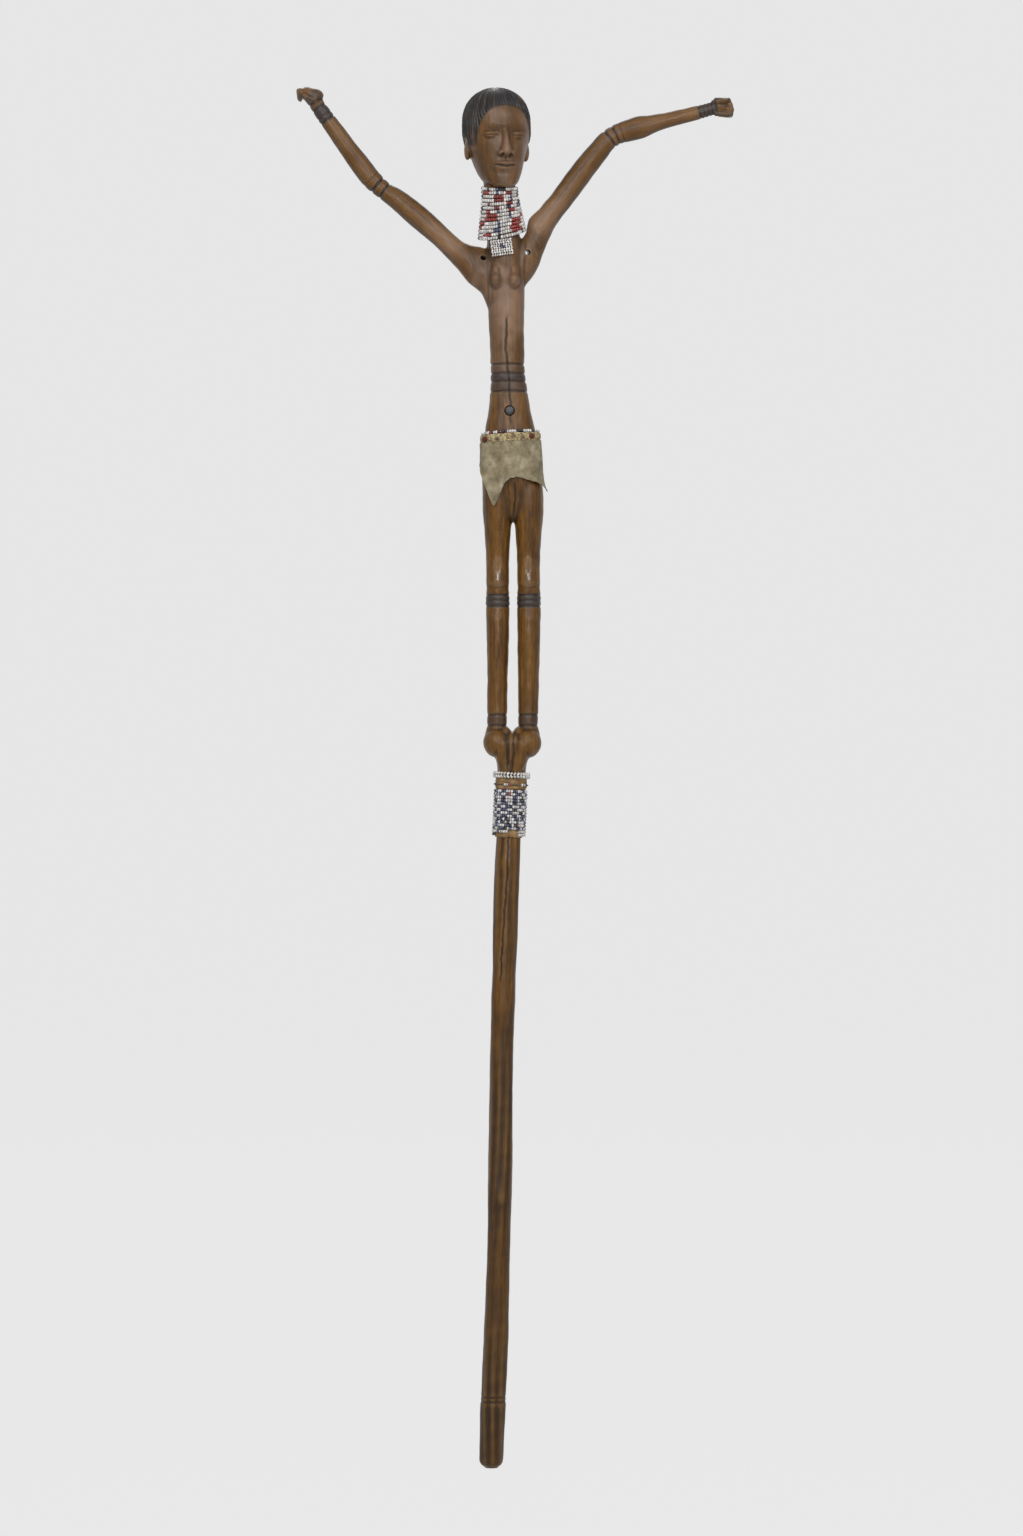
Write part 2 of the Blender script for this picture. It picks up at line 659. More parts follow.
# %% Torso and arms
TORSO = [
    (741, 18.6, 13.4), (745, 18.8, 14.0), (750, 18.2, 13.9), (761, 15.8, 12.8), (770, 14.4, 12.2),
    (778, 13.6, 11.8), (787, 12.7, 11.5), (796, 12.3, 11.2), (813, 12.5, 11.2), (831, 13.0, 11.5),
    (858, 13.2, 12.0), (875, 13.2, 12.1), (885, 12.7, 11.8), (892, 11.6, 11.2), (899, 10.9, 10.9),
    (920, 10.4, 10.4),
]
LEFT_ARM = [
    (9.4, 856.2, 15.6, 7.4, 0), (-0.3, 857.8, 22.5, 9.0, 0), (-7.2, 865.7, 17.2, 9.2, 0),
    (-14.5, 870.5, 13.7, 9.0, 9), (-20.6, 875.9, 9.8, 8.6, 22), (-27.6, 882.1, 8.0, 8.2, 38),
    (-35.8, 889.7, 8.0, 8.0, 42), (-52.8, 904.9, 8.2, 8.0, 41), (-69.8, 918.8, 7.4, 7.5, 38),
    (-77.5, 923.9, 6.6, 7.1, 38), (-86.8, 932.3, 7.2, 7.2, 48), (-96.2, 944.4, 7.2, 7.1, 53),
    (-105.3, 956.6, 6.4, 6.4, 54), (-113.3, 967.8, 6.0, 6.0, 54), (-121.9, 979.7, 5.7, 5.7, 55),
    (-125.9, 985.5, 5.2, 5.3, 57), (-129.1, 990.6, 5.4, 5.7, 49), (-133.5, 994.4, 4.9, 6.4, 32),
    (-136.5, 995.8, 3.4, 5.0, 18),
]
RIGHT_ARM = [
    (9.8, 859.7, 15.8, 7.4, 180), (17.8, 865.0, 19.6, 9.0, 180), (24.3, 873.4, 18.8, 9.2, 180),
    (28.5, 881.5, 18.6, 9.0, 172), (32.7, 891.6, 13.6, 8.8, 158), (36.4, 898.8, 10.4, 8.5, 146),
    (41.6, 906.3, 8.6, 8.2, 137), (51.1, 918.2, 8.2, 8.2, 127), (68.3, 941.2, 8.2, 8.0, 128),
    (76.9, 951.7, 7.8, 7.7, 130), (83.9, 959.9, 7.2, 7.4, 137), (90.1, 964.2, 7.2, 7.2, 153),
    (98.1, 967.1, 7.9, 7.2, 162), (106.3, 969.4, 8.3, 7.2, 165), (115.5, 971.9, 6.8, 6.6, 165),
    (124.3, 974.3, 5.9, 5.9, 166), (141.2, 978.5, 5.3, 5.3, 166), (150.2, 980.8, 5.2, 5.2, 165),
    (159.9, 983.4, 5.0, 5.2, 165), (163.6, 984.4, 5.6, 5.8, 174), (167.7, 984.4, 5.9, 6.0, 180),
    (170.5, 984.2, 4.4, 4.8, 184),
]


def arm_line(rows, count=180):
    """Places, half axes and section directions along an arm, with the length run so far."""
    rows = np.array(rows, float)
    run = np.concatenate([[0], np.cumsum(np.hypot(np.diff(rows[:, 0]), np.diff(rows[:, 1])))])
    at = np.linspace(0, run[-1], count)
    return at, through(run, rows, at)


def arm_skin(rows):
    """The skin of an arm along its bent line."""
    _, line = arm_line(rows)
    x, z, thick, depth, turn = line.T
    turn = np.radians(turn)
    none = np.zeros(len(x))
    return tube(
        np.stack([x, none, z], 1),
        np.stack([thick * np.sin(turn), none, thick * np.cos(turn)], 1),
        np.stack([none, -depth, none], 1),
        40,
        2.1,
    )


def arm_place(points, rows):
    """For each point: length along the arm's line, and the signed distance across it."""
    run, line = arm_line(rows, 240)
    x, z = line[:, 0], line[:, 1]
    nearest = np.argmin((points[:, :1] - x) ** 2 + (points[:, 2:3] - z) ** 2, axis=1)
    ahead = np.gradient(np.stack([x, z], 1), axis=0)
    ahead /= np.linalg.norm(ahead, axis=1)[:, None]
    off = np.stack([points[:, 0] - x[nearest], points[:, 2] - z[nearest]], 1)
    along = run[nearest] + (off * ahead[nearest]).sum(1)
    across = off[:, 0] * ahead[nearest, 1] - off[:, 1] * ahead[nearest, 0]
    return along, across


def length_at(rows, x_place):
    """Length along an arm's line where it passes a sideways place."""
    run, line = arm_line(rows, 240)
    order = np.argsort(line[:, 0])
    return float(np.interp(x_place, line[order, 0], run[order]))


BREAST_PLACES = (3.3, 16.4)
skins = [upright(TORSO, 110, 64, 2.35), arm_skin(LEFT_ARM), arm_skin(RIGHT_ARM)]
skins.append(egg((29.9, 0.0, 892.0), (4.1, 8.2, 10.6), 0.0, 28))
for place in BREAST_PLACES:
    skins.append(egg((place, -10.5, 858.8), (4.2, 5.6, 5.8), 0.0, 28))
    skins.append(egg((place, -9.2, 863.6), (3.6, 4.7, 7.4), 0.0, 28))
for row in range(4):  # the fingers of the hand at the left of the picture
    y = 5.4 - 3.5 * row
    reach = (0, 0.9, 0.6, -0.6)[row]
    knuckle = (-138.4 - reach, y, 997.0 - 0.5 * row)
    skins.append(capsule((-130.0, y, 993.5), knuckle, 2.2, 14, 0.9))
    skins.append(capsule(knuckle, (-138.6 - 0.6 * reach, y, 990.8), 2.1, 14, 0.8))
skins.append(egg((-128.0, 0.0, 992.2), (6.6, 6.9, 5.6), 0.0, 28))
skins.append(capsule((-127.0, -5.4, 988.0), (-135.4, -7.6, 991.6), 1.9, 14, 0.85))
for row in range(4):  # and of the other one, folded once more
    z = 989.4 - 3.45 * row
    reach = (0.2, 1.6, 2.5, 2.0)[row]
    skins.append(capsule((162.0, -3.0, z), (171.2 + reach, -3.6, z - 0.2), 2.1, 14, 0.9))
    skins.append(capsule((171.2 + reach, -3.4, z - 0.2), (171.6 + reach, 3.4, z - 0.3), 2.05, 14, 0.95))
    skins.append(capsule((171.4 + reach, 3.6, z - 0.3), (165.0, 4.6, z), 2.0, 14, 0.8))
skins.append(capsule((160.5, -4.4, 988.0), (169.4, -6.4, 988.8), 2.0, 14, 0.85))
torso = melted("carved_torso_arms", skins, TORSO_VOXEL)


def armpits(points):
    """More rubbing where the arms leave the trunk, since the wood runs in soft hollows there."""
    across = np.abs(points[:, 0] - 10.5)
    return 0.3 + 0.7 * bell(across, 16, 9) * bell(points[:, 2], 872, 30)


relax(torso, 6, lambda points: np.full(len(points), 0.7))
relax(torso, 16, armpits)


# %% [markdown]
# Cuts in the torso and arms
#
# On the real piece these are knife work: rings round the waist, the elbows and the wrists, the
# under-edge of the breasts, and the edge where the flat chest stands proud of the arms' webs.
# Two holes are drilled clean through, and a socket is bored for the dark navel plug.

# %% Cuts in the torso and arms
WAIST_RINGS = (797.8, 791.2, 785.4, 778.2)
CHEST_EDGES = (-2.6, 24.2)
# the arms' rings: where each crosses the arm's line, as x, and how deep it is cut
LEFT_RINGS = [
    (-77.3, 0.7), (-82.3, 0.8), (-86.6, 0.25), (-118.6, 0.55), (-120.8, 0.35), (-124.6, 0.45),
    (-127.2, 0.55),
]
RIGHT_RINGS = [
    (85.6, 0.7), (89.9, 0.7), (94.2, 0.3), (150.8, 0.5), (153.6, 0.5), (156.4, 0.5), (159.2, 0.5),
    (161.8, 0.5),
]


def torso_depth(points, normals):
    """The knife work on the torso and the arms, in mm along the surface's normal."""
    x, height = points[:, 0], points[:, 2]
    off = x - lean(height)
    front = step_up(-normals[:, 1], 0.15, 0.4)
    depth = 0.28 * hills(points, 40, 21) + 0.13 * hills(points, 10, 22)
    on_trunk = 1 - step_up(np.abs(off), 14.5, 1.5)
    for level in WAIST_RINGS:
        depth -= 0.75 * bell(height, level, 0.75) * on_trunk
    for place in BREAST_PLACES:
        ring = np.hypot((x - place) / 4.4, (height - 858.6) / 6.4)
        depth -= 0.28 * bell(ring, 1.08, 0.14) * (1 - step_up(height, 856.0, 3)) * front
    on_chest = step_up(height, 842, 8) * (1 - step_up(height, 884, 10))
    for edge in CHEST_EDGES:
        depth -= 0.45 * bell(x, edge, 0.8) * on_chest * front
    depth -= 0.85 * crack_nearness(points, TORSO_CRACK, 0.6)
    for rows, rings in ((LEFT_ARM, LEFT_RINGS), (RIGHT_ARM, RIGHT_RINGS)):
        along, _ = arm_place(points, rows)
        on_arm = step_up(np.abs(off), 40, 4) * (np.sign(off) == np.sign(rings[0][0]))
        for place, deep in rings:
            depth -= deep * bell(along, length_at(rows, place), 0.75) * on_arm
    return depth


carve(torso, torso_depth)
relax(torso, 1)


HOLE_MOUTH = -9.0  # y where the holes in the webs open at the front


def drilled(made, x, height, radius, y_from=-40.0, y_to=40.0, rise=0.0, aside=0.0):
    """Bores a round hole from front to back, which may climb or veer to the side as it goes."""
    ends = np.array(
        [[x + aside * (y - HOLE_MOUTH), y, height + rise * (y - HOLE_MOUTH)] for y in (y_from, y_to)]
    )
    across = np.array([[radius, 0, 0]] * 2, float)
    deep = np.array([[0, 0, radius]] * 2, float)
    drill = skin_object("drill", tube(ends, across, deep, 24))
    cut = made.modifiers.new("Bore", "BOOLEAN")
    cut.operation = "DIFFERENCE"
    cut.solver = "EXACT"
    cut.object = drill
    done = baked(made, made.name)
    bpy.data.objects.remove(drill)
    return done


# the two holes in the webs: x, height, radius, how they climb and how they veer towards the back
WEB_HOLES = ((-5.9, 875.0, 1.9, -0.4, 0.0), (26.3, 878.3, 1.8, 0.06, -0.12))
for x, height, radius, rise, aside in WEB_HOLES:
    torso = drilled(torso, x, height, radius, rise=rise, aside=aside)
SOCKET_X, SOCKET_HEIGHT, SOCKET_RADIUS, SOCKET_FLOOR = 13.1, 764.0, 3.9, -7.2
torso = drilled(torso, SOCKET_X, SOCKET_HEIGHT, SOCKET_RADIUS, y_to=SOCKET_FLOOR)
torso.name = "carved_torso_arms"
print("torso and arms:", face_count(torso), "triangles")

# %% [markdown]
# The head
#
# The head is an egg that looks a little to its own left. Its face is a plain, calm one on the
# proportions that drawing books teach: the eyes half way between crown and chin, the nose ending
# half way between the brows and the chin, the ears as high as the nose is long. The features
# are laid on as soft lumps and melted in, and the fine lines are cut afterwards.

# %% Head
HEAD_TURN = math.radians(14)
CHIN = 926.4
HEAD = [
    (-1.2, 5.6, 7.2, 13.6), (0, 8.4, 10.0, 12.2), (3.6, 12.4, 14.8, 8.2), (8.6, 15.0, 18.6, 4.6),
    (15.7, 17.4, 21.8, 2.0), (24.3, 20.0, 24.6, 0.3), (32.9, 22.4, 27.0, -0.8), (41.5, 23.5, 28.1, -1.1),
    (50, 23.3, 27.7, -1.1), (57.9, 21.3, 25.2, -0.9), (64.4, 17.0, 20.3, -0.6), (68.6, 11.3, 13.7, -0.3),
    (70.9, 5.2, 6.2, 0), (71.4, 1.5, 1.8, 0),
]
SIDE = np.array((math.cos(HEAD_TURN), math.sin(HEAD_TURN), 0))
AHEAD = np.array((math.sin(HEAD_TURN), -math.cos(HEAD_TURN), 0))


HEAD_ASIDE, HEAD_BACK = -0.8, 3.3  # the head's axis stands off the trunk's line


def head_place(side, ahead, up):
    """A place of the head: to its left side, forward of its middle, and above the chin, in mm."""
    side, ahead, up = (np.asarray(v, float) for v in (side, ahead, up))
    middle = np.stack([lean(CHIN + up) + HEAD_ASIDE, np.full(up.shape, HEAD_BACK), CHIN + up], -1)
    return middle + side[..., None] * SIDE + ahead[..., None] * AHEAD


def head_frame(points):
    """The same three numbers for points of the mesh."""
    axis = np.stack([lean(points[:, 2]) + HEAD_ASIDE, np.full(len(points), HEAD_BACK), points[:, 2]], 1)
    off = points - axis
    return off @ SIDE, off @ AHEAD, points[:, 2] - CHIN


def head_skin(table, up, sides, power):
    """A skin round the head's axis: rows of height, half-width, half-length and place ahead."""
    rows = np.array(table, float)
    wide, long, ahead = through(rows[:, 0], rows[:, 1:], up).T
    centres = head_place(np.zeros(len(up)), ahead, up)
    return tube(centres, wide[:, None] * SIDE, long[:, None] * AHEAD, sides, power)


up = np.concatenate([np.linspace(-1.2, 64, 90), 71.4 - 7.4 * np.linspace(1, 0, 26)[1:] ** 2])
skull = head_skin(HEAD, up, 120, 2.12)
EYE_SIDE = 10.2


def face_relief(side, ahead, up):
    """Hollows and swellings of the face, in mm forward."""
    eye = np.hypot((np.abs(side) - EYE_SIDE) / 6.4, (up - 36.6) / 4.4)
    relief = -2.1 * np.exp(-(eye**2))
    brow = 42.6 - 0.012 * (np.abs(side) - 6) ** 2
    relief += 0.6 * bell(up, brow, 2.6) * bell(side, 0, 15)
    relief += 0.9 * np.exp(-(((np.abs(side) - 12.5) / 5.5) ** 2) - ((up - 27) / 6) ** 2)
    relief -= 0.8 * np.exp(-((side / 6.5) ** 2) - ((up - 8.4) / 1.6) ** 2)
    relief += 1.1 * np.exp(-((side / 8.5) ** 2) - ((up - 13.4) / 5) ** 2)
    return relief * (ahead > 0)


place = head_frame(skull[0])
skull = (skull[0] + face_relief(*place)[:, None] * AHEAD, skull[1])

NOSE = [
    (19.6, 2.9, 3.0, 24.4), (20.6, 4.2, 5.0, 24.9), (22.4, 4.6, 6.3, 25.4), (25, 3.7, 5.9, 25.6),
    (30, 2.8, 4.6, 25.8), (36, 2.3, 3.2, 25.5), (41.5, 2.3, 2.4, 23.9),
]
nose = head_skin(NOSE, np.linspace(NOSE[0][0], NOSE[-1][0], 40), 32, 2.0)
NECK = [(900, 11.0, 11.0), (918, 11.0, 11.0), (930, 11.6, 11.4), (940, 12.5, 12.2)]
skins = [skull, nose, upright(NECK, 30, 48)]
skins.append(egg(head_place(0, 14.5, 5.2), (8.6, 7.6, 4.8), HEAD_TURN, 28))
skins.append(egg(head_place(0, 22.6, 15.2), (7.4, 3.1, 1.9), HEAD_TURN, 28))
skins.append(egg(head_place(0, 21.5, 11.5), (6.5, 3.4, 2.0), HEAD_TURN, 28))
for way in (-1, 1):
    skins.append(egg(head_place(way * 4.1, 26.3, 22.2), (2.2, 3.4, 2.3), HEAD_TURN, 24))
    skins.append(egg(head_place(way * EYE_SIDE, 22.2, 36.0), (5.0, 3.1, 3.0), HEAD_TURN + way * 0.28, 28))
    skins.append(egg(head_place(way * 21.6, -3.0, 26.8), (2.7, 4.4, 7.2), HEAD_TURN + way * 0.2, 28))
head = melted("carved_head", skins, HEAD_VOXEL)
relax(head, 3)


def hair_cover(side, ahead, up):
    """1 where the hair's cap lies, 0 on the face, the ears and the neck."""
    face = (np.abs((side - 1.6) / 20.4) ** 2.5 + np.abs((up - 27.9) / 28.9) ** 2.5) ** 0.4 - 1
    front = step_up(ahead, 0, 2)
    open_face = 1 - step_up(face, 0, 0.028)
    ear = bell(np.abs(side), 23, 5) * np.exp(-(((ahead + 2) / 5.0) ** 4) - ((up - 26.8) / 8.5) ** 4)
    low_edge = step_up(up, 22 + 7 * front, 1.0)
    return np.clip(low_edge * (1 - open_face * front) * (1 - np.clip(ear * 1.6, 0, 1)), 0, 1)


def head_depth(points, normals):
    """The hair's step and combed ridges, the lids and lips, nostrils and the ears' hollows."""
    side, ahead, up = head_frame(points)
    front = step_up(-(normals @ -AHEAD), 0.1, 0.4)
    depth = 0.14 * hills(points, 22, 31) + 0.07 * hills(points, 7, 32)
    hair = hair_cover(side, ahead, up)
    around = np.arctan2(side, ahead + 3) + 0.12 * np.sin(up / 9)
    depth += hair * (0.8 + 0.4 * np.sin(around * 72) * step_up(np.hypot(side, ahead), 5, 4))
    for way in (-1, 1):
        across = side - way * EYE_SIDE
        lens = np.clip(1 - (across / 5.2) ** 2, 0, 1)
        depth -= 0.85 * bell(up, 35.2 - 0.3 * lens, 0.5) * lens * front
        depth -= 0.45 * bell(up, 38.6 + 1.0 * (lens - 1), 0.5) * lens * front
        depth -= 1.5 * np.exp(-((side - way * 3.1) ** 2 + (up - 20.2) ** 2) / 1.3) * (ahead > 20)
        ear = np.hypot((ahead + 2.4) / 2.1, (up - 27.1) / 4.4)
        depth -= 1.0 * bell(ear, 0.45, 0.5) * (way * side > 21.5)
    mouth = 13.3 - 0.35 * np.cos(side * 0.55)
    depth -= 1.15 * bell(up, mouth, 0.55) * (1 - step_up(np.abs(side), 7.2, 1.6)) * front
    depth -= 0.35 * bell(side, 0, 0.9) * bell(up, 18, 1.4) * front
    return depth


carve(head, head_depth)
print("head:", face_count(head), "triangles")

# %% [markdown]
# What the wood remembers
#
# A good wood material needs to know some things that only the shape can tell: which way the
# fibres and the hair run, where hands have polished the wood bright or greyed it, where dirt has
# settled, where it has cracked, and where it was stained.
# We work these out once and keep them as attributes, so the material can read them anywhere.


# %% Attributes of the wood
def hollowness(made, reach=5):
    """-1 in hollows, +1 on edges, from how far a vertex stands out from its surroundings."""
    points, ends, normals = read_points(made), edge_ends(made), point_normals(made)
    around = points
    for _ in range(reach):
        around = neighbour_mean(around, ends, len(points))
    bulge = ((points - around) * normals).sum(1)
    bulge = bulge - np.median(bulge)
    return np.clip(bulge / (np.percentile(np.abs(bulge), 96) + 1e-6), -1, 1)


def stains(points):
    """Where the carver blackened the wood: rings at waist, knees, ankles, elbows and wrists."""
    x, height = points[:, 0], points[:, 2]
    off = np.abs(x - lean(height))
    body = 1 - step_up(off, 14.5, 1.5)
    legs_only = 1 - step_up(height, 700, 10)
    stain = 0.95 * bell(height, 788.3, 5.4) * body
    stain = np.maximum(stain, 0.45 * bell(height, 797.6, 1.8) * body)
    stain = np.maximum(stain, 0.45 * bell(height, 778.2, 1.8) * body)
    between = step_up(height, 777.5, 1) * (1 - step_up(height, 798.5, 1)) * body
    lower = 1 - step_up(height, 785.4, 1.5)  # the lower of the two bands is the sootier one
    stain = np.maximum(stain, (0.36 + 0.24 * lower) * between)
    ring = step_up(height, 622.0, 0.8) * (1 - step_up(height, 632.3, 0.8)) * legs_only
    stain = np.maximum(stain, 0.92 * ring)
    ring = step_up(height, 536, 1) * (1 - step_up(height, 546.2, 1))
    stain = np.maximum(stain, 0.6 * ring)
    arm = off > 40
    for rows, spans, way in (
        (
            LEFT_ARM,
            ((-76.5, -78.1, 0.9), (-81.4, -83.2, 1.0), (-117.6, -125.6, 0.95), (-126.2, -131.5, 0.7)),
            -1,
        ),
        (RIGHT_ARM, ((84.8, 86.4, 0.95), (89.1, 90.7, 0.9), (149.2, 163.5, 0.9)), 1),
    ):
        along, across = arm_place(points, rows)
        run, line = arm_line(rows, 240)
        share = np.abs(across) / np.interp(along, run, line[:, 2])
        sooty = 0.6 * step_up(share, 0.8, 0.22) * arm * (np.sign(x) == way)
        stain = np.maximum(stain, sooty)
        for start, end, strength in spans:
            low, high = length_at(rows, start), length_at(rows, end)
            here = step_up(along, low, 0.8) * (1 - step_up(along, high, 0.8)) * arm * (np.sign(x) == way)
            stain = np.maximum(stain, strength * here)
    return stain


SHOULDER_HEIGHT = 850


def fibres(points):
    """Coordinates that run with the grain: straight in the trunk, bent along the arms."""
    x, height = points[:, 0], points[:, 2]
    off = x - lean(height)
    run = np.stack([off, points[:, 1], height], 1)
    for rows, way in ((LEFT_ARM, -1), (RIGHT_ARM, 1)):
        along, across = arm_place(points, rows)
        bent = np.stack([across * way, points[:, 1], SHOULDER_HEIGHT + along], 1)
        share = step_up(way * off, 21, 10) * (height > 830) * (height < 1010)
        near = np.abs(across) < 24
        share = (share * near)[:, None]
        run = run * (1 - share) + bent * share
    return run * MM


def remember(made, with_hair=False):
    """Works out a carved piece's attributes and stores them."""
    points = read_points(made)
    cracks = np.maximum.reduce([
        crack_nearness(points, TORSO_CRACK, 0.5),
        crack_nearness(points, SHAFT_CRACK, 0.45),
        crack_nearness(points, FEET_CRACK, 0.5),
        0.7 * crack_nearness(points, HIP_CRACK, 0.5),
    ])
    for x, height, radius, rise, aside in WEB_HOLES:
        run = points[:, 1] - HOLE_MOUTH
        off_axis = np.hypot(points[:, 0] - x - aside * run, points[:, 2] - height - rise * run)
        cracks = np.maximum(cracks, 1 - step_up(off_axis, radius + 0.3, 0.3))
    store(made, "fibre", fibres(points))
    soft_chest = bell(points[:, 0], 10.5, 15) * bell(points[:, 2], 864, 16) * (points[:, 1] < 0)
    store(made, "edge", hollowness(made) * (1 - 0.9 * soft_chest))
    store(made, "stain", np.maximum(stains(points), 0))
    store(made, "crack", cracks)
    aside = np.abs(points[:, 0] - lean(points[:, 2]))
    store(made, "grey", step_up(points[:, 2], 790, 60) * (1 - 0.7 * step_up(aside, 45, 50)))
    kneecap = np.hypot((aside - 10.6) / 3.4, (points[:, 2] - 641.5) / 8.5)
    store(made, "polish", (1 - step_up(kneecap, 0.9, 0.5)) * (points[:, 1] < 0))
    hair = hair_cover(*head_frame(points)) * (points[:, 2] > 940) if with_hair else np.zeros(len(points))
    store(made, "hair", hair)
    if with_hair:
        side, ahead, up = head_frame(points)
        around = np.arctan2(side, ahead + 3)
        comb = np.stack([around * 24, np.zeros(len(points)), up], 1) * MM  # mm round the head and mm up
        store(made, "comb", comb)
    shade_smooth(made)


for piece in (shaft, legs, torso):
    remember(piece)
remember(head, with_hair=True)
print("attributes:", sorted(a.name for a in head.data.attributes if not a.name.startswith(".")))

# %% [markdown]
# Dark, hand-polished wood
#
# Real surface: a dense brown hardwood, cut with a knife and darkened by years of handling and
# oil. It shows long fine streaks along the fibres, small dark pores, a greyer bloom where it is
# worn, dirt in every hollow and a soft sheen. The rings and the hair were blackened.

# %% Wood
wood, tree, shader = new_material("hardwood_knife_carved_oiled", IOR=1.5, Specular_IOR_Level=0.26)
fibre, edge, stain, crack, hair, comb, grey, polish = (
    node(tree, "ShaderNodeAttribute", attribute_name=name)
    for name in ("fibre", "edge", "stain", "crack", "hair", "comb", "grey", "polish")
)
# one unit of this space is 1 mm across the fibres and 22 mm along them
grain = node(tree, "ShaderNodeMapping", {"Vector": fibre.outputs["Vector"], "Scale": (1000, 1000, 45)})
# and here 1 mm is one unit each way
even = node(tree, "ShaderNodeMapping", {"Vector": fibre.outputs["Vector"], "Scale": PER_MM})
streaks = node(
    tree, "ShaderNodeTexNoise", {"Vector": grain, "Scale": 0.55, "Detail": 4.0, "Roughness": 0.62}
)
fine = node(tree, "ShaderNodeTexNoise", {"Vector": grain, "Scale": 1.6, "Detail": 2.0})
clouds = node(tree, "ShaderNodeTexNoise", {"Vector": even, "Scale": 0.035, "Detail": 2.0})
patches = node(tree, "ShaderNodeTexNoise", {"Vector": grain, "Scale": 0.12, "Detail": 3.0})
pores = node(tree, "ShaderNodeTexNoise", {"Vector": grain, "Scale": 2.1, "Detail": 1.0})
tone = node(
    tree,
    "ShaderNodeValToRGB",
    {"Fac": streaks},
    [
        (0.3, colour("#37220b")),
        (0.44, colour("#543613")),
        (0.56, colour("#704b19")),
        (0.7, colour("#8d6226")),
    ],
)
ember = node(
    tree, "ShaderNodeValToRGB", {"Fac": patches}, [(0.38, colour("#50371a")), (0.62, colour("#835918"))]
)
body = node(tree, "ShaderNodeMix", {0: 0.45, 6: tone, 7: ember}, data_type="RGBA")
shade = node(
    tree, "ShaderNodeValToRGB", {"Fac": clouds}, [(0.3, (0.7, 0.68, 0.66, 1)), (0.7, (1.1, 1.1, 1.1, 1))]
)
body = node(tree, "ShaderNodeMix", {0: 1.0, 6: body, 7: shade}, data_type="RGBA", blend_type="MULTIPLY")
# the handled lower shaft has darkened most, from the feet at 0.5 m down to the tip
place = node(tree, "ShaderNodeSeparateXYZ", {"Vector": fibre.outputs["Vector"]})
age = node(
    tree,
    "ShaderNodeMapRange",
    {"Value": place.outputs["Z"], "From Min": 0.05, "From Max": 0.52, "To Min": 0.55, "To Max": 0.95},
)
aged = node(tree, "ShaderNodeCombineXYZ", {i: age for i in range(3)})
body = node(tree, "ShaderNodeMix", {0: 1.0, 6: body, 7: aged}, data_type="RGBA", blend_type="MULTIPLY")
pore = node(tree, "ShaderNodeValToRGB", {"Fac": pores}, [(0.3, (0.45, 0.4, 0.36, 1)), (0.4, (1, 1, 1, 1))])
body = node(tree, "ShaderNodeMix", {0: 0.7, 6: body, 7: pore}, data_type="RGBA", blend_type="MULTIPLY")
wear = node(
    tree,
    "ShaderNodeMapRange",
    {"Value": edge.outputs["Fac"], "From Min": 0.15, "From Max": 1.0, "To Max": 0.35},
)
body = node(tree, "ShaderNodeMix", {0: wear, 6: body, 7: colour("#8a6a42")}, data_type="RGBA")
# the torso and the face have greyed with handling, in soft patches
worn = node(
    tree,
    "ShaderNodeMapRange",
    {"Value": clouds, "From Min": 0.38, "From Max": 0.6, "To Min": 0.1, "To Max": 0.54},
)
greyed = node(tree, "ShaderNodeMath", {0: grey.outputs["Fac"], 1: worn}, operation="MULTIPLY")
body = node(tree, "ShaderNodeMix", {0: greyed, 6: body, 7: colour("#957b6b")}, data_type="RGBA")
rubbed = node(
    tree,
    "ShaderNodeMapRange",
    {"Value": fine, "From Min": 0.35, "From Max": 0.62, "To Min": 0.78, "To Max": 1.0},
)
black = node(tree, "ShaderNodeMath", {0: stain.outputs["Fac"], 1: rubbed}, operation="MULTIPLY")
body = node(tree, "ShaderNodeMix", {0: black, 6: body, 7: colour("#323032")}, data_type="RGBA")
locks = node(tree, "ShaderNodeMapping", {"Vector": comb.outputs["Vector"], "Scale": (1000, 1000, 40)})
lock_noise = node(
    tree, "ShaderNodeTexNoise", {"Vector": locks, "Scale": 0.42, "Detail": 3.0, "Roughness": 0.6}
)
lock_tone = node(
    tree,
    "ShaderNodeValToRGB",
    {"Fac": lock_noise},
    [
        (0.34, colour("#141316")),
        (0.5, colour("#2a292b")),
        (0.58, colour("#3d3733")),
        (0.67, colour("#6b5135")),
    ],
)
body = node(tree, "ShaderNodeMix", {0: hair.outputs["Fac"], 6: body, 7: lock_tone}, data_type="RGBA")
dirt = node(
    tree,
    "ShaderNodeMapRange",
    {"Value": edge.outputs["Fac"], "From Min": -0.1, "From Max": -0.9, "To Max": 0.75},
)
body = node(tree, "ShaderNodeMix", {0: dirt, 6: body, 7: colour("#241a14")}, data_type="RGBA")
body = node(
    tree, "ShaderNodeMix", {0: crack.outputs["Fac"], 6: body, 7: colour("#17110d")}, data_type="RGBA"
)
tree.links.new(body.outputs[2], shader.inputs["Base Color"])
sheen = node(
    tree,
    "ShaderNodeMapRange",
    {"Value": streaks, "From Min": 0.3, "From Max": 0.7, "To Min": 0.42, "To Max": 0.26},
)
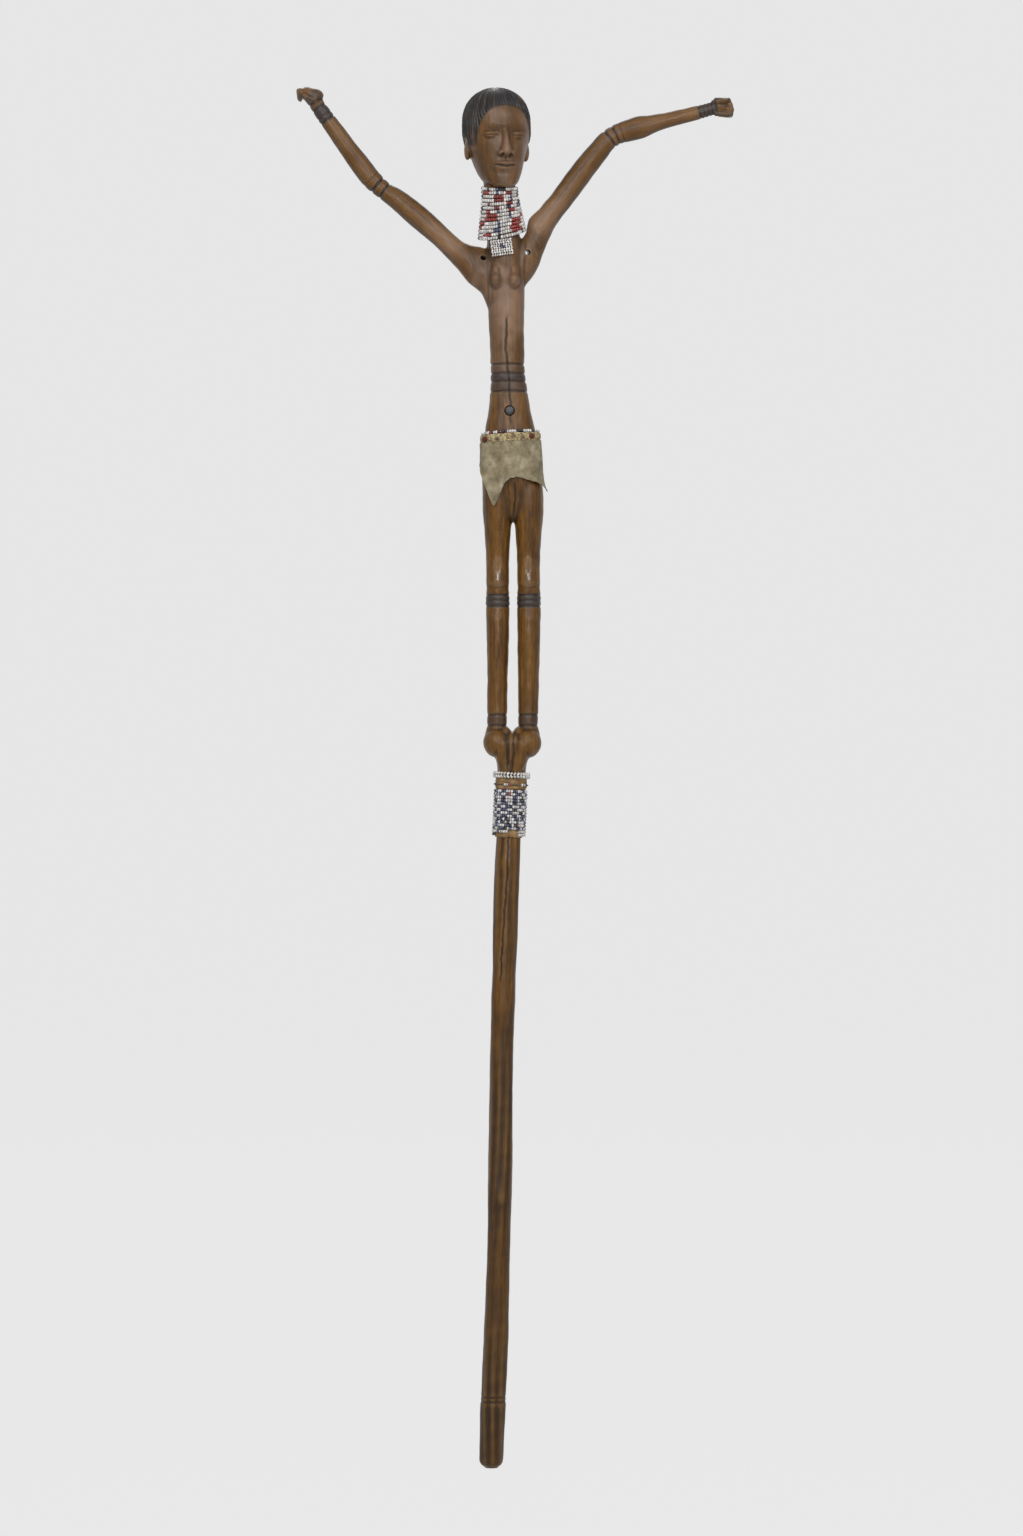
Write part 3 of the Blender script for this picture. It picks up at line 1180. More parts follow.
# the kneecaps stand out, so cloth and hands have polished them brighter than the rest
sheen = node(tree, "ShaderNodeMix", {0: polish.outputs["Fac"], 2: sheen, 3: 0.17})
tree.links.new(sheen.outputs[0], shader.inputs["Roughness"])
gloss = node(tree, "ShaderNodeMapRange", {"Value": polish.outputs["Fac"], "To Min": 0.26, "To Max": 0.6})
tree.links.new(gloss.outputs[0], shader.inputs["Specular IOR Level"])
height = node(tree, "ShaderNodeMath", {0: streaks, 1: fine}, operation="ADD")
combed = node(tree, "ShaderNodeMath", {0: lock_noise, 1: hair.outputs["Fac"]}, operation="MULTIPLY")
combed = node(tree, "ShaderNodeMath", {0: combed, 1: 3.0}, operation="MULTIPLY")
height = node(tree, "ShaderNodeMath", {0: height, 1: combed}, operation="ADD")
bump = node(tree, "ShaderNodeBump", {"Strength": 0.35, "Distance": 0.35 * MM, "Height": height})
tree.links.new(bump.outputs[0], shader.inputs["Normal"])

for piece in (shaft, legs, torso, head):
    piece.data.materials.clear()
    piece.data.materials.append(wood)
    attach(piece, "staff")
    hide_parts("carved_staff")
print("wood on", [piece.name for piece in (shaft, legs, torso, head)])

# %% [markdown]
# The navel plug
#
# A short peg of nearly black wood fills the navel. It stands in its drilled socket, with a
# narrow dark gap around it, and its end is rounded by wear.

# %% Plug
PLUG_HEIGHT = 764.04
PLUG_LENGTH = 5
PLUG_FRONT = -12.58
PLUG_PROFILE = [  # radius, and distance from the plug's inner end
    (0.2, 0), (3.3, 0), (3.6, 0.3), (3.6, 3.9), (3.45, 4.35), (3.05, 4.7), (2.2, 4.9), (1.1, 4.98),
    (0.1, PLUG_LENGTH),
]
profile = np.array(PLUG_PROFILE)
ends = np.ones(len(profile))
plug_back = PLUG_FRONT + PLUG_LENGTH
centres = np.stack([ends * lean(PLUG_HEIGHT), plug_back - profile[:, 1], ends * PLUG_HEIGHT], 1)
disc = profile[:, :1]
plug = skin_object("navel_plug_wood", tube(centres, disc * (1, 0, 0), disc * (0, 0, 1), 48, 2.0))
dark_wood, tree, shader = new_material("blackwood_turned_waxed", Roughness=0.38, IOR=1.5)
place = node(tree, "ShaderNodeTexCoord")
# growth rings of the peg's end, about 0.6 mm apart
plug_grain = node(
    tree, "ShaderNodeMapping", {"Vector": place.outputs["Object"], "Scale": (1600, 300, 1600)}
)
rings = node(tree, "ShaderNodeTexNoise", {"Vector": plug_grain, "Scale": 0.9, "Detail": 3.0})
tone = node(
    tree, "ShaderNodeValToRGB", {"Fac": rings}, [(0.35, colour("#141213")), (0.65, colour("#272527"))]
)
tree.links.new(tone.outputs[0], shader.inputs["Base Color"])
bump = node(tree, "ShaderNodeBump", {"Strength": 0.3, "Distance": 0.2 * MM, "Height": rings})
tree.links.new(bump.outputs[0], shader.inputs["Normal"])
plug.data.materials.append(dark_wood)
shade_smooth(plug)
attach(plug, "staff")
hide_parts("navel_plug")

# %% [markdown]
# Glass seed beads
#
# Every strand is a line of bead centres. The line keeps two things at each centre: which colour
# the bead has, and which way its hole points. A geometry tree then puts a bead on each centre,
# turns it, makes it a little larger or smaller than its neighbours as real seed beads are, and
# runs a cotton thread through them all.

# %% Bead materials
BEAD_GLASS = {
    "bead_white_opaque_glass": ("#bab6b1", "#e9e6e3", 0.24),
    "bead_red_opaque_glass": ("#6e231f", "#9c3a33", 0.22),
    "bead_navy_opaque_glass": ("#2c3048", "#585e7b", 0.2),
    "bead_black_opaque_glass": ("#17171b", "#2b2a2e", 0.2),
}
WHITE, RED, NAVY, BLACK = range(4)
glass = []
for name, (dark, light, roughness) in BEAD_GLASS.items():  # batches of beads differ a little in tone
    made, tree, shader = new_material(
        name, Roughness=roughness, IOR=1.52, Coat_Weight=0.25, Coat_Roughness=0.12
    )
    batch = node(tree, "ShaderNodeAttribute", attribute_name="batch")
    tone = node(
        tree,
        "ShaderNodeValToRGB",
        {"Fac": batch.outputs["Fac"]},
        [(0.1, colour(dark)), (0.8, colour(light))],
    )
    tree.links.new(tone.outputs[0], shader.inputs["Base Color"])
    glass.append(made)

cotton, tree, shader = new_material(
    "thread_twisted_cotton_grey", Base_Color=colour("#4c463f"), Roughness=0.9
)
place = node(tree, "ShaderNodeTexCoord")
# the twist of the yarn is drawn 0.5 mm long, coarser than real, so that it can be seen
yarn = node(tree, "ShaderNodeMapping", {"Vector": place.outputs["Object"], "Scale": PER_MM})
twist = node(tree, "ShaderNodeTexNoise", {"Vector": yarn, "Scale": 2.0, "Detail": 1.0})
tone = node(
    tree, "ShaderNodeValToRGB", {"Fac": twist}, [(0.35, colour("#37322d")), (0.65, colour("#6a6156"))]
)
tree.links.new(tone.outputs[0], shader.inputs["Base Color"])

# %% [markdown]
# The tree that strings them
#
# One bead is a small ring swept by a small circle, then squeezed to the bead's length. Its hole
# runs along Z, so each copy only has to turn Z to the strand's direction.

# %% Bead tree
bead_tree = bpy.data.node_groups.new("seed_beads_on_thread", "GeometryNodeTree")
bead_tree.interface.new_socket("Strands", in_out="INPUT", socket_type="NodeSocketGeometry")
BEAD_INPUTS = {
    "Bead width": 2.3 * MM,
    "Bead length": 1.7 * MM,
    "Hole share": 0.3,
    "Unevenness": 0.07,
    "Thread": 0.5 * MM,
}
for name, value in BEAD_INPUTS.items():
    socket = bead_tree.interface.new_socket(name, in_out="INPUT", socket_type="NodeSocketFloat")
    socket.default_value = value
bead_tree.interface.new_socket("Seed", in_out="INPUT", socket_type="NodeSocketInt")
bead_tree.interface.new_socket("Beads", in_out="OUTPUT", socket_type="NodeSocketGeometry")

given = node(bead_tree, "NodeGroupInput").outputs
wall = node(bead_tree, "ShaderNodeMath", {0: 1.0, 1: given["Hole share"]}, operation="SUBTRACT")
wall = node(bead_tree, "ShaderNodeMath", {0: wall, 1: given["Bead width"]}, operation="MULTIPLY")
wall = node(bead_tree, "ShaderNodeMath", {0: wall, 1: 0.25}, operation="MULTIPLY")
radius = node(bead_tree, "ShaderNodeMath", {0: given["Bead width"], 1: 0.5}, operation="MULTIPLY")
radius = node(bead_tree, "ShaderNodeMath", {0: radius, 1: wall}, operation="SUBTRACT")
circle = node(bead_tree, "GeometryNodeCurvePrimitiveCircle", {"Resolution": 10, "Radius": radius})
section = node(bead_tree, "GeometryNodeCurvePrimitiveCircle", {"Resolution": 6, "Radius": wall})
ring = node(bead_tree, "GeometryNodeCurveToMesh", {"Curve": circle, "Profile Curve": section})
squeeze = node(bead_tree, "ShaderNodeMath", {0: given["Bead length"], 1: 0.5}, operation="MULTIPLY")
squeeze = node(bead_tree, "ShaderNodeMath", {0: squeeze, 1: wall}, operation="DIVIDE")
squeeze = node(bead_tree, "ShaderNodeCombineXYZ", {"X": 1.0, "Y": 1.0, "Z": squeeze})
bead = node(bead_tree, "GeometryNodeTransform", {"Geometry": ring, "Scale": squeeze})

hole = node(bead_tree, "GeometryNodeInputNamedAttribute", {"Name": "hole"}, data_type="FLOAT_VECTOR")
lean_by = node(bead_tree, "ShaderNodeCombineXYZ", {i: given["Unevenness"] for i in range(3)})
less = node(bead_tree, "ShaderNodeVectorMath", {0: lean_by, "Scale": -2.0}, operation="SCALE")
more = node(bead_tree, "ShaderNodeVectorMath", {0: lean_by, "Scale": 2.0}, operation="SCALE")
wobble = node(
    bead_tree,
    "FunctionNodeRandomValue",
    {"Min": less, "Max": more, "Seed": given["Seed"]},
    data_type="FLOAT_VECTOR",
)
facing = node(bead_tree, "ShaderNodeVectorMath", {0: hole, 1: wobble}, operation="ADD")
turned = node(bead_tree, "FunctionNodeAlignRotationToVector", {"Vector": facing}, axis="Z")
least = node(bead_tree, "ShaderNodeMath", {0: 1.0, 1: given["Unevenness"]}, operation="SUBTRACT")
most = node(bead_tree, "ShaderNodeMath", {0: 1.0, 1: given["Unevenness"]}, operation="ADD")
least = node(bead_tree, "ShaderNodeCombineXYZ", {i: least for i in range(3)})
most = node(bead_tree, "ShaderNodeCombineXYZ", {i: most for i in range(3)})
another = node(bead_tree, "ShaderNodeMath", {0: given["Seed"], 1: 7.0}, operation="ADD")
sizes = node(
    bead_tree,
    "FunctionNodeRandomValue",
    {"Min": least, "Max": most, "Seed": another},
    data_type="FLOAT_VECTOR",
)
beads = node(
    bead_tree,
    "GeometryNodeInstanceOnPoints",
    {"Points": given["Strands"], "Instance": bead, "Rotation": turned, "Scale": sizes},
)
batch = node(bead_tree, "FunctionNodeRandomValue", {"Seed": given["Seed"]}, data_type="FLOAT")
beads = node(
    bead_tree,
    "GeometryNodeStoreNamedAttribute",
    {"Geometry": beads, "Name": "batch", "Value": batch},
    data_type="FLOAT",
    domain="INSTANCE",
)
beads = node(bead_tree, "GeometryNodeRealizeInstances", {"Geometry": beads})
tint = node(bead_tree, "GeometryNodeInputNamedAttribute", {"Name": "tint"}, data_type="INT")
for number, material in enumerate(glass):
    same = node(
        bead_tree, "FunctionNodeCompare", {"A": tint, "B": number}, data_type="INT", operation="EQUAL"
    )
    beads = node(
        bead_tree, "GeometryNodeSetMaterial", {"Geometry": beads, "Selection": same, "Material": material}
    )

line = node(bead_tree, "GeometryNodeMeshToCurve", {"Mesh": given["Strands"]})
half = node(bead_tree, "ShaderNodeMath", {0: given["Thread"], 1: 0.5}, operation="MULTIPLY")
section = node(bead_tree, "GeometryNodeCurvePrimitiveCircle", {"Resolution": 6, "Radius": half})
thread = node(
    bead_tree, "GeometryNodeCurveToMesh", {"Curve": line, "Profile Curve": section, "Fill Caps": True}
)
thread = node(bead_tree, "GeometryNodeSetMaterial", {"Geometry": thread, "Material": cotton})
both = node(bead_tree, "GeometryNodeJoinGeometry")
for part in (thread, beads):
    bead_tree.links.new(part.outputs[0], both.inputs[0])
smooth = node(bead_tree, "GeometryNodeSetShadeSmooth", {0: both})
node(bead_tree, "NodeGroupOutput", {"Beads": smooth})
print("bead tree:", len(bead_tree.nodes), "nodes")

# %% [markdown]
# Strands
#
# A strand is made from a path. The bead centres are set out at even steps along it, so the
# number of beads follows from the path's length and the bead's own length.


# %% Strand helpers
def ring_path(centre, across, deep, start=0, turn=360, count=240):
    """Points round an ellipse from the front (0 degrees) towards its right side."""
    angle = np.radians(start + turn * np.arange(count) / (count if turn == 360 else count - 1))[:, None]
    return np.asarray(centre) + np.asarray(across) * np.sin(angle) - np.asarray(deep) * np.cos(angle)


def strung(path, pitch, tints, closed=True, slant=None):
    """A strand: bead centres at even steps, the direction of each hole, and each bead's tint."""
    run = np.vstack([path, path[:1]]) if closed else path
    travelled = np.concatenate([[0], np.cumsum(np.linalg.norm(np.diff(run, axis=0), axis=1))])
    count = max(2, round(travelled[-1] / pitch))
    at = travelled[-1] * (np.arange(count) + (0 if closed else 0.5)) / count
    before, spots, beyond = (
        np.stack([np.interp(at + nudge, travelled, run[:, k]) for k in range(3)], 1)
        for nudge in (-0.1, 0, 0.1)
    )
    hole = beyond - before
    hole /= np.linalg.norm(hole, axis=1)[:, None]
    if slant is not None:
        hole = hole + np.asarray(slant)
        hole /= np.linalg.norm(hole, axis=1)[:, None]
    return spots, hole, np.resize(tints(spots) if callable(tints) else tints, count), closed


def runs(rng, count, kinds):
    """A row of bead colours in short runs: kinds lists (tint, shortest, longest, how often)."""
    odds = np.array([kind[3] for kind in kinds], float)
    row, last = [], -1
    while len(row) < count:
        pick = int(rng.choice(len(kinds), p=odds / odds.sum()))
        if pick != last:
            tint, short, long, _ = kinds[pick]
            row += [tint] * int(rng.integers(short, long + 1))
            last = pick
    return row[:count]


def beadwork(name, strands, body, nodes, slot, seed, **settings):
    """Lays the strands out as one mesh and lets the tree put the beads on it."""
    points, edges, holes, tints = [], [], [], []
    for centres, hole, tint, closed in strands:
        first = len(points)
        points += list(centres * MM)
        edges += [(first + i, first + i + 1) for i in range(len(centres) - 1)]
        edges += [(first + len(centres) - 1, first)] * closed
        holes += list(hole)
        tints += list(tint)
    made = mesh_object(name + "_layout", points, [], edges)
    made.data.attributes.new("hole", "FLOAT_VECTOR", "POINT").data.foreach_set("vector", np.ravel(holes))
    made.data.attributes.new("tint", "INT", "POINT").data.foreach_set("value", np.array(tints, int))
    modifier = made.modifiers.new("beads", "NODES")
    modifier.node_group = bead_tree
    values = {**BEAD_INPUTS, **settings, "Seed": seed}
    for item in bead_tree.interface.items_tree:
        if item.in_out == "INPUT" and item.name in values:
            modifier[item.identifier] = values[item.name]
    made = baked(made, name)
    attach(made, body)
    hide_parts(*nodes)
    print(name, len(tints), "beads,", face_count(made), "triangles")


# %% [markdown]
# The collar
#
# Thirteen strands are wound close together round the neck. They lie level at the top and droop
# more and more at the front, and the lowest ones spread over the higher shoulder. Blocks of dark
# red and of navy run through the white, shifting sideways from row to row.

# %% Collar
COLLAR_TOP = 925.7
COLLAR_PITCH = 2.52
# the front half of each row from its left to its right: w white, r red, n navy, k black
COLLAR_ROWS = (
    "nwwwnwwnkkwwwwwn nwrrrwwnwwrrwwnn kkwwwwrrrwwnwwkk nwwwwwrrrwwnwwww kwwwrwwwwwrrwwkk "
    "wkwwwwrrwwnwwnnn wnwwrwwnwwrrwwww wwwwrrrwwwnwwwww wwwrrrrwwwnwwwrw rrrwwwwnwwwrrrww "
    "rrwwwwwnwwwrrrww rwwwwwnnwwrrrwww wwwrrwwnwwwrrrww"
).split()
TINT_LETTERS = {"w": WHITE, "r": RED, "n": NAVY, "k": BLACK}
rng = np.random.default_rng(11)
strands = []
for row, letters in enumerate(COLLAR_ROWS):
    share = row / (len(COLLAR_ROWS) - 1)
    half_width = 12.35 + 4 * max(0, 1.25 * share - 0.25)
    half_depth = 12.35 + 1.8 * share
    tilt = 0.1 * COLLAR_PITCH * row / half_width
    droop = 2.2 * (1 + 0.7 * share) / half_depth
    centre = np.array((5.845 + 1.6 * share, 0, COLLAR_TOP - COLLAR_PITCH * row))
    across = half_width * np.array((math.cos(tilt), 0, math.sin(tilt)))
    deep = half_depth * np.array((0, math.cos(droop), math.sin(droop)))
    behind = runs(rng, 60, [(WHITE, 3, 6, 5), (RED, 2, 3, 2), (NAVY, 1, 2, 2), (BLACK, 1, 1, 1)])

    def row_tints(spots):
        """The row's letters in front, each over 11.25 degrees, and the free runs behind."""
        angle = np.degrees(np.arctan2(spots[:, 0] - centre[0], -spots[:, 1]))
        front = [TINT_LETTERS[letters[min(15, max(0, int((a + 90) / 11.25)))]] for a in angle]
        return [front[i] if abs(a) < 90 else behind[i] for i, a in enumerate(angle)]

    path = ring_path(centre, across, deep)
    way = np.arctan2(path[:, 0] - centre[0], -path[:, 1])
    slack = 0.3 * np.sin(2 * way + 1) + 0.2 * np.sin(5 * way)  # the lower a strand, the looser
    path[:, 2] += share * slack + 0.1 * np.sin(3 * way + 2.1 * row)
    strands.append(strung(path, 1.72, row_tints))
COLLAR_NODES = [f"collar_strand_{row + 1}" for row in range(len(COLLAR_ROWS))]
beadwork("collar_beads", strands, "staff", COLLAR_NODES, "white_beads", 3, **{"Bead width": 2.5 * MM})

# %% [markdown]
# Neck string and waist string
#
# A single string of larger white beads carries the tab and hangs free of the collar. Another
# single string, white in short groups between dark ones, is tied round the waist.

# %% Single strings
rng = np.random.default_rng(12)
NECK_STRING = ((7.578, 0, 892.886), (16.475, 0, 3.115), (0, 13.78, 3.821))  # centre and half axes
path = ring_path(*NECK_STRING)
neck_row = runs(rng, 60, [(WHITE, 4, 9, 6), (BLACK, 1, 1, 1)])
beadwork(
    "neck_string_beads", [strung(path, 1.95, neck_row)], "staff", ["neck_string"], "white_beads", 4,
    **{"Bead width": 2.45 * MM, "Bead length": 1.85 * MM, "Thread": 0.6 * MM},
)
WAIST_HEIGHT = 748.95
WAIST_HALF = (20.135, 15.652)
# x of the white groups in front
WAIST_WHITE = ((-6.5, -1.5), (0.8, 3.8), (11.2, 18.2), (23.5, 28.2), (30.5, 33.5))
WAIST_TILT = math.radians(3)
across = WAIST_HALF[0] * np.array((math.cos(WAIST_TILT), 0, math.sin(WAIST_TILT)))
path = ring_path((lean(WAIST_HEIGHT), 0, WAIST_HEIGHT), across, (0, WAIST_HALF[1], 0))
behind = runs(rng, 80, [(WHITE, 3, 5, 3), (BLACK, 2, 3, 2), (RED, 1, 2, 1)])


def waist_tints(spots):
    """White groups between dark beads in front, and a row of short runs behind."""
    row = []
    for i, (x, y, _) in enumerate(spots):
        white = any(low < x < high for low, high in WAIST_WHITE)
        row.append(behind[i] if y > 0 else WHITE if white else (RED if i % 5 == 2 else BLACK))
    return row


beadwork(
    "waist_string_beads", [strung(path, 1.7, waist_tints)], "staff", ["waist_bead_string"], "white_beads", 5
)

# %% [markdown]
# The tab
#
# A square tab of netted beads hangs from the neck string. Its beads lean to the left and to the
# right in turn, row by row, as they do when two threads cross between them, with a few navy
# beads in the middle and a row of longer ones along the lower edge. It swings from the string,
# so it rides on a body of its own.

# %% Tab
TAB_HANG = np.array((6.378, -13.78, 889.064))
TAB_TILT = math.radians(8)
TAB_SIDE = np.array((math.cos(TAB_TILT), 0, math.sin(TAB_TILT)))
TAB_DOWN = np.array((math.sin(TAB_TILT), 0, -math.cos(TAB_TILT)))
TAB_WIDTH, TAB_LENGTH, TAB_ROWS, TAB_COLUMNS = 16, 12.6, 7, 9
NAVY_SPOTS = ((3, 4), (3, 5), (2, 4))  # row and column
strands = []
for row in range(TAB_ROWS):
    down = 2.5 + row * (TAB_LENGTH - 1.6) / (TAB_ROWS - 0.35)
    last = row == TAB_ROWS - 1
    ends = np.array((-1, 1)) * (TAB_WIDTH / 2 - 0.1)
    path = TAB_HANG + ends[:, None] * TAB_SIDE + (down + 0.2 * last) * TAB_DOWN
    tints = [NAVY if (row, column) in NAVY_SPOTS else WHITE for column in range(TAB_COLUMNS)]
    slant = (0.0, 0.12, 0.8 if row % 2 else -0.8)
    strands.append(strung(path, TAB_WIDTH / TAB_COLUMNS, tints, closed=False, slant=slant))
beadwork(
    "pendant_tab_beads", strands, "tab", ["pendant_tab"], "white_beads", 6,
    **{"Bead width": 2.1 * MM, "Bead length": 1.3 * MM, "Thread": 0.55 * MM, "Unevenness": 0.1},
)

# %% [markdown]
# Beadwork below the feet
#
# The shaft leans a little, so this beadwork has its own axis. From the top: a ring of white
# beads in a herringbone, a loose thread with a few beads, thirteen strands in which white pairs
# step sideways through navy, and two open loops of white at the very bottom.

# %% Lower beadwork
SLEEVE_FOOT = np.array((12.389, 0, 456.5))
SLEEVE_UP = np.array((0.046713, 0, 0.998908))
SLEEVE_SIDE = np.array((0.998908, 0, -0.046713))
# radii and heights above the sleeve's foot, in mm
SLEEVE_ROWS = 13
STRAND_RADIUS = 11.2
STRAND_PITCH = 2.24
FIRST_ROW = 33.0
RING_RADIUS, RING_HEIGHT = 12.35, 44.6
LOOSE_RADIUS, LOOSE_HEIGHT = 12.2, 37.7
FORWARD = np.array((0, 1, 0))


def sleeve_ring(radius, height, **span):
    """A ring round the sleeve's own axis, at a height above its foot."""
    return ring_path(SLEEVE_FOOT + height * SLEEVE_UP, radius * SLEEVE_SIDE, (0, radius, 0), **span)


rng = np.random.default_rng(21)
strands = []
offset = 0.0
for row in range(SLEEVE_ROWS):
    offset += rng.choice((2.2, 2.7, 0.3), p=(0.45, 0.25, 0.3))
    count = 42
    pattern = runs(rng, count, [(NAVY, 2, 3, 5), (WHITE, 1, 3, 5), (BLACK, 1, 2, 1), (RED, 1, 1, 0.25)])
    steps = [WHITE if (bead - offset) % 4.6 < 2.3 else NAVY for bead in range(count)]
    mixed = [step if rng.random() < 0.72 else free for step, free in zip(steps, pattern)]
    strands.append(
        strung(sleeve_ring(STRAND_RADIUS, FIRST_ROW - STRAND_PITCH * row, start=180), 1.7, mixed)
    )
for row, turn in ((13, 318), (14, 250)):
    path = sleeve_ring(STRAND_RADIUS, FIRST_ROW - STRAND_PITCH * row, start=38, turn=turn)
    strands.append(strung(path, 1.75, runs(rng, 60, [(WHITE, 6, 12, 8), (BLACK, 1, 1, 1)]), closed=False))
SLEEVE_NODES = (
    [f"sleeve_strand_{row + 1}" for row in range(SLEEVE_ROWS)]
    + ["sleeve_loop_1", "sleeve_loop_2"]
)
beadwork("sleeve_beads", strands, "staff", SLEEVE_NODES, "navy_beads", 7, **{"Bead width": 2.3 * MM})

strands = []
for level, way in ((1.05, 1), (-1.05, -1)):
    path = sleeve_ring(RING_RADIUS, RING_HEIGHT + level)
    strands.append(strung(path, 2.45, [WHITE], slant=way * -0.85 * SLEEVE_UP))
beadwork(
    "herringbone_ring_beads", strands, "ring", ["twisted_bead_ring"], "white_beads", 8,
    **{"Bead width": 2.7 * MM, "Bead length": 1.6 * MM, "Thread": 1.0 * MM},
)

# the loose thread's beads: in front as spans of x, behind as angles from the front
LOOSE_FRONT = ((9.0, 12.6, WHITE), (12.7, 14.6, RED), (21.2, 24.3, WHITE), (24.4, 26.5, NAVY))
LOOSE_BACK = ((2.2, WHITE), (2.34, WHITE), (3.6, NAVY), (3.74, WHITE), (4.3, RED))
BEAD_STEP = 1.7
spots = []
for start, end, tint in LOOSE_FRONT:
    for x in np.arange(start + BEAD_STEP / 2, end, BEAD_STEP):
        spots.append((math.asin(min(0.98, max(-0.98, (x - 14.15) / LOOSE_RADIUS))), tint))
spots = sorted(spots + list(LOOSE_BACK))
angle = np.array([spot[0] for spot in spots])[:, None]
outward = SLEEVE_SIDE * np.sin(angle) - FORWARD * np.cos(angle)
round_band = SLEEVE_FOOT + LOOSE_HEIGHT * SLEEVE_UP + LOOSE_RADIUS * outward
along = SLEEVE_SIDE * np.cos(angle) + FORWARD * np.sin(angle)
tints = [spot[1] for spot in spots]
group_starts = np.where(np.diff(angle[:, 0]) > 0.3)[0] + 1  # each close group has its own strand
loose = [
    (round_band[group], along[group], [tints[i] for i in group], False)
    for group in np.split(np.arange(len(spots)), group_starts)
]
beadwork(
    "loose_thread_beads", loose, "thread", ["loose_thread"], "white_beads", 9,
    **{"Bead width": 1.95 * MM, "Bead length": 1.6 * MM, "Thread": 0.1 * MM},
)

# %% [markdown]
# The loose thread itself
#
# This thread is bare between its beads, so it is drawn as two plies twisted round each other.

# %% Loose thread
PLY_STEPS, PLY_SIDES = 720, 6
PLY_TWISTS = 46  # turns of the yarn in one round
PLY_RADIUS, PLY_OFFSET = 0.24, 0.2


def ring_faces(rows, columns):
    """The faces of a grid that closes on itself both ways, like the skin of a ring."""
    index = np.arange(rows * columns).reshape(rows, columns)
    after = np.roll(index, -1, 0)
    return np.stack([after, np.roll(after, -1, 1), np.roll(index, -1, 1), index], -1).reshape(-1, 4)


way = np.linspace(0, 2 * math.pi, PLY_STEPS, endpoint=False)[:, None]
outward = np.sin(way) * SLEEVE_SIDE - np.cos(way) * FORWARD
sides = np.arange(PLY_SIDES) * 2 * math.pi / PLY_SIDES
section = np.stack([outward * math.cos(a) + SLEEVE_UP * math.sin(a) for a in sides], 1)
plies = []
for phase in (0, math.pi):
    twist = PLY_TWISTS * way + phase
    path = sleeve_ring(LOOSE_RADIUS, LOOSE_HEIGHT, count=PLY_STEPS)
    path = path + PLY_OFFSET * (np.cos(twist) * outward + np.sin(twist) * SLEEVE_UP)
    plies.append((path[:, None] + PLY_RADIUS * section).reshape(-1, 3))
faces = ring_faces(PLY_STEPS, PLY_SIDES)
faces = np.vstack([faces, faces + len(plies[0])])
loose_thread = mesh_object("loose_thread_plies", np.vstack(plies) * MM, faces)
loose_thread.data.materials.append(cotton)
shade_smooth(loose_thread)
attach(loose_thread, "thread")
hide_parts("loose_thread")
print("loose thread:", face_count(loose_thread), "triangles")

# %% [markdown]
# The leather sleeve
#
# A strip of tan leather is wound on the shaft and stitched to itself. It is thin where the
# strands cover it and stands out as a thick rounded band above them. Its surface is creased
# round the shaft, and the cut edges are a little uneven.

# %% Leather sleeve
SLEEVE_PROFILE = [
    (9.126, 0.3), (9.4, 0), (9.8, 0.05), (9.926, 0.5), (9.926, 20), (9.926, 33.7), (10.4, 34.3),
    (11.05, 34.7), (11.3, 35.4), (11.35, 36.5), (11.22, 38.3), (11.38, 40.2), (11.3, 42), (10.95, 43.3),
    (10.55, 43.5), (10.4, 42.6), (10.4, 35.7), (9.126, 31.2), (9.126, 15),
]
PROFILE_STEPS, ROUND_STEPS = 190, 200
BAND_FOOT = 33  # the height above which the leather stands out as a band
closed = np.array(SLEEVE_PROFILE + SLEEVE_PROFILE[:1], float)
dense = np.linspace(0, len(SLEEVE_PROFILE), PROFILE_STEPS, endpoint=False)
radius, level = (np.interp(dense, np.arange(len(closed)), closed[:, k]) for k in (0, 1))
way = np.linspace(0, 2 * math.pi, ROUND_STEPS, endpoint=False)[:, None]
outside = (radius > 9.9) & (level > 0.2)
crease = 0.10 * np.sin(level * 2.1 + 1.3 * np.sin(way * 3) + way)
crease = crease + 0.07 * np.sin(level * 4.6 + 2.2 * np.sin(way * 2 + 1))
uneven = 0.22 * np.sin(way * 5 + 1) + 0.16 * np.sin(way * 11 + 2)
edge_share = np.exp(-(((level - 43.5) / 1.6) ** 2)) + np.exp(-((level / 1.2) ** 2))
seam = 0.5 * np.exp(-(((way - 2.6) / 0.03) ** 2)) * (level > BAND_FOOT)
r = radius + (crease - seam) * outside * (0.35 + (level > BAND_FOOT))
z = level - 0.3 * edge_share + uneven * edge_share
points = SLEEVE_FOOT + z[..., None] * SLEEVE_UP + (r * np.sin(way))[..., None] * SLEEVE_SIDE
points[..., 1] -= r * np.cos(way)
sleeve = mesh_object(
    "leather_sleeve_tan", points.reshape(-1, 3) * MM, ring_faces(ROUND_STEPS, PROFILE_STEPS)
)
shade_smooth(sleeve)
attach(sleeve, "staff")
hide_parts("leather_sleeve")
print("leather sleeve:", face_count(sleeve), "triangles")

# %% [markdown]
# The waistband
#
# The waistband is the top of the hide rolled over itself and stitched along its lower side. It
# follows the hips' oval section. Two reddish knots stand on its front, with dark smudges between.

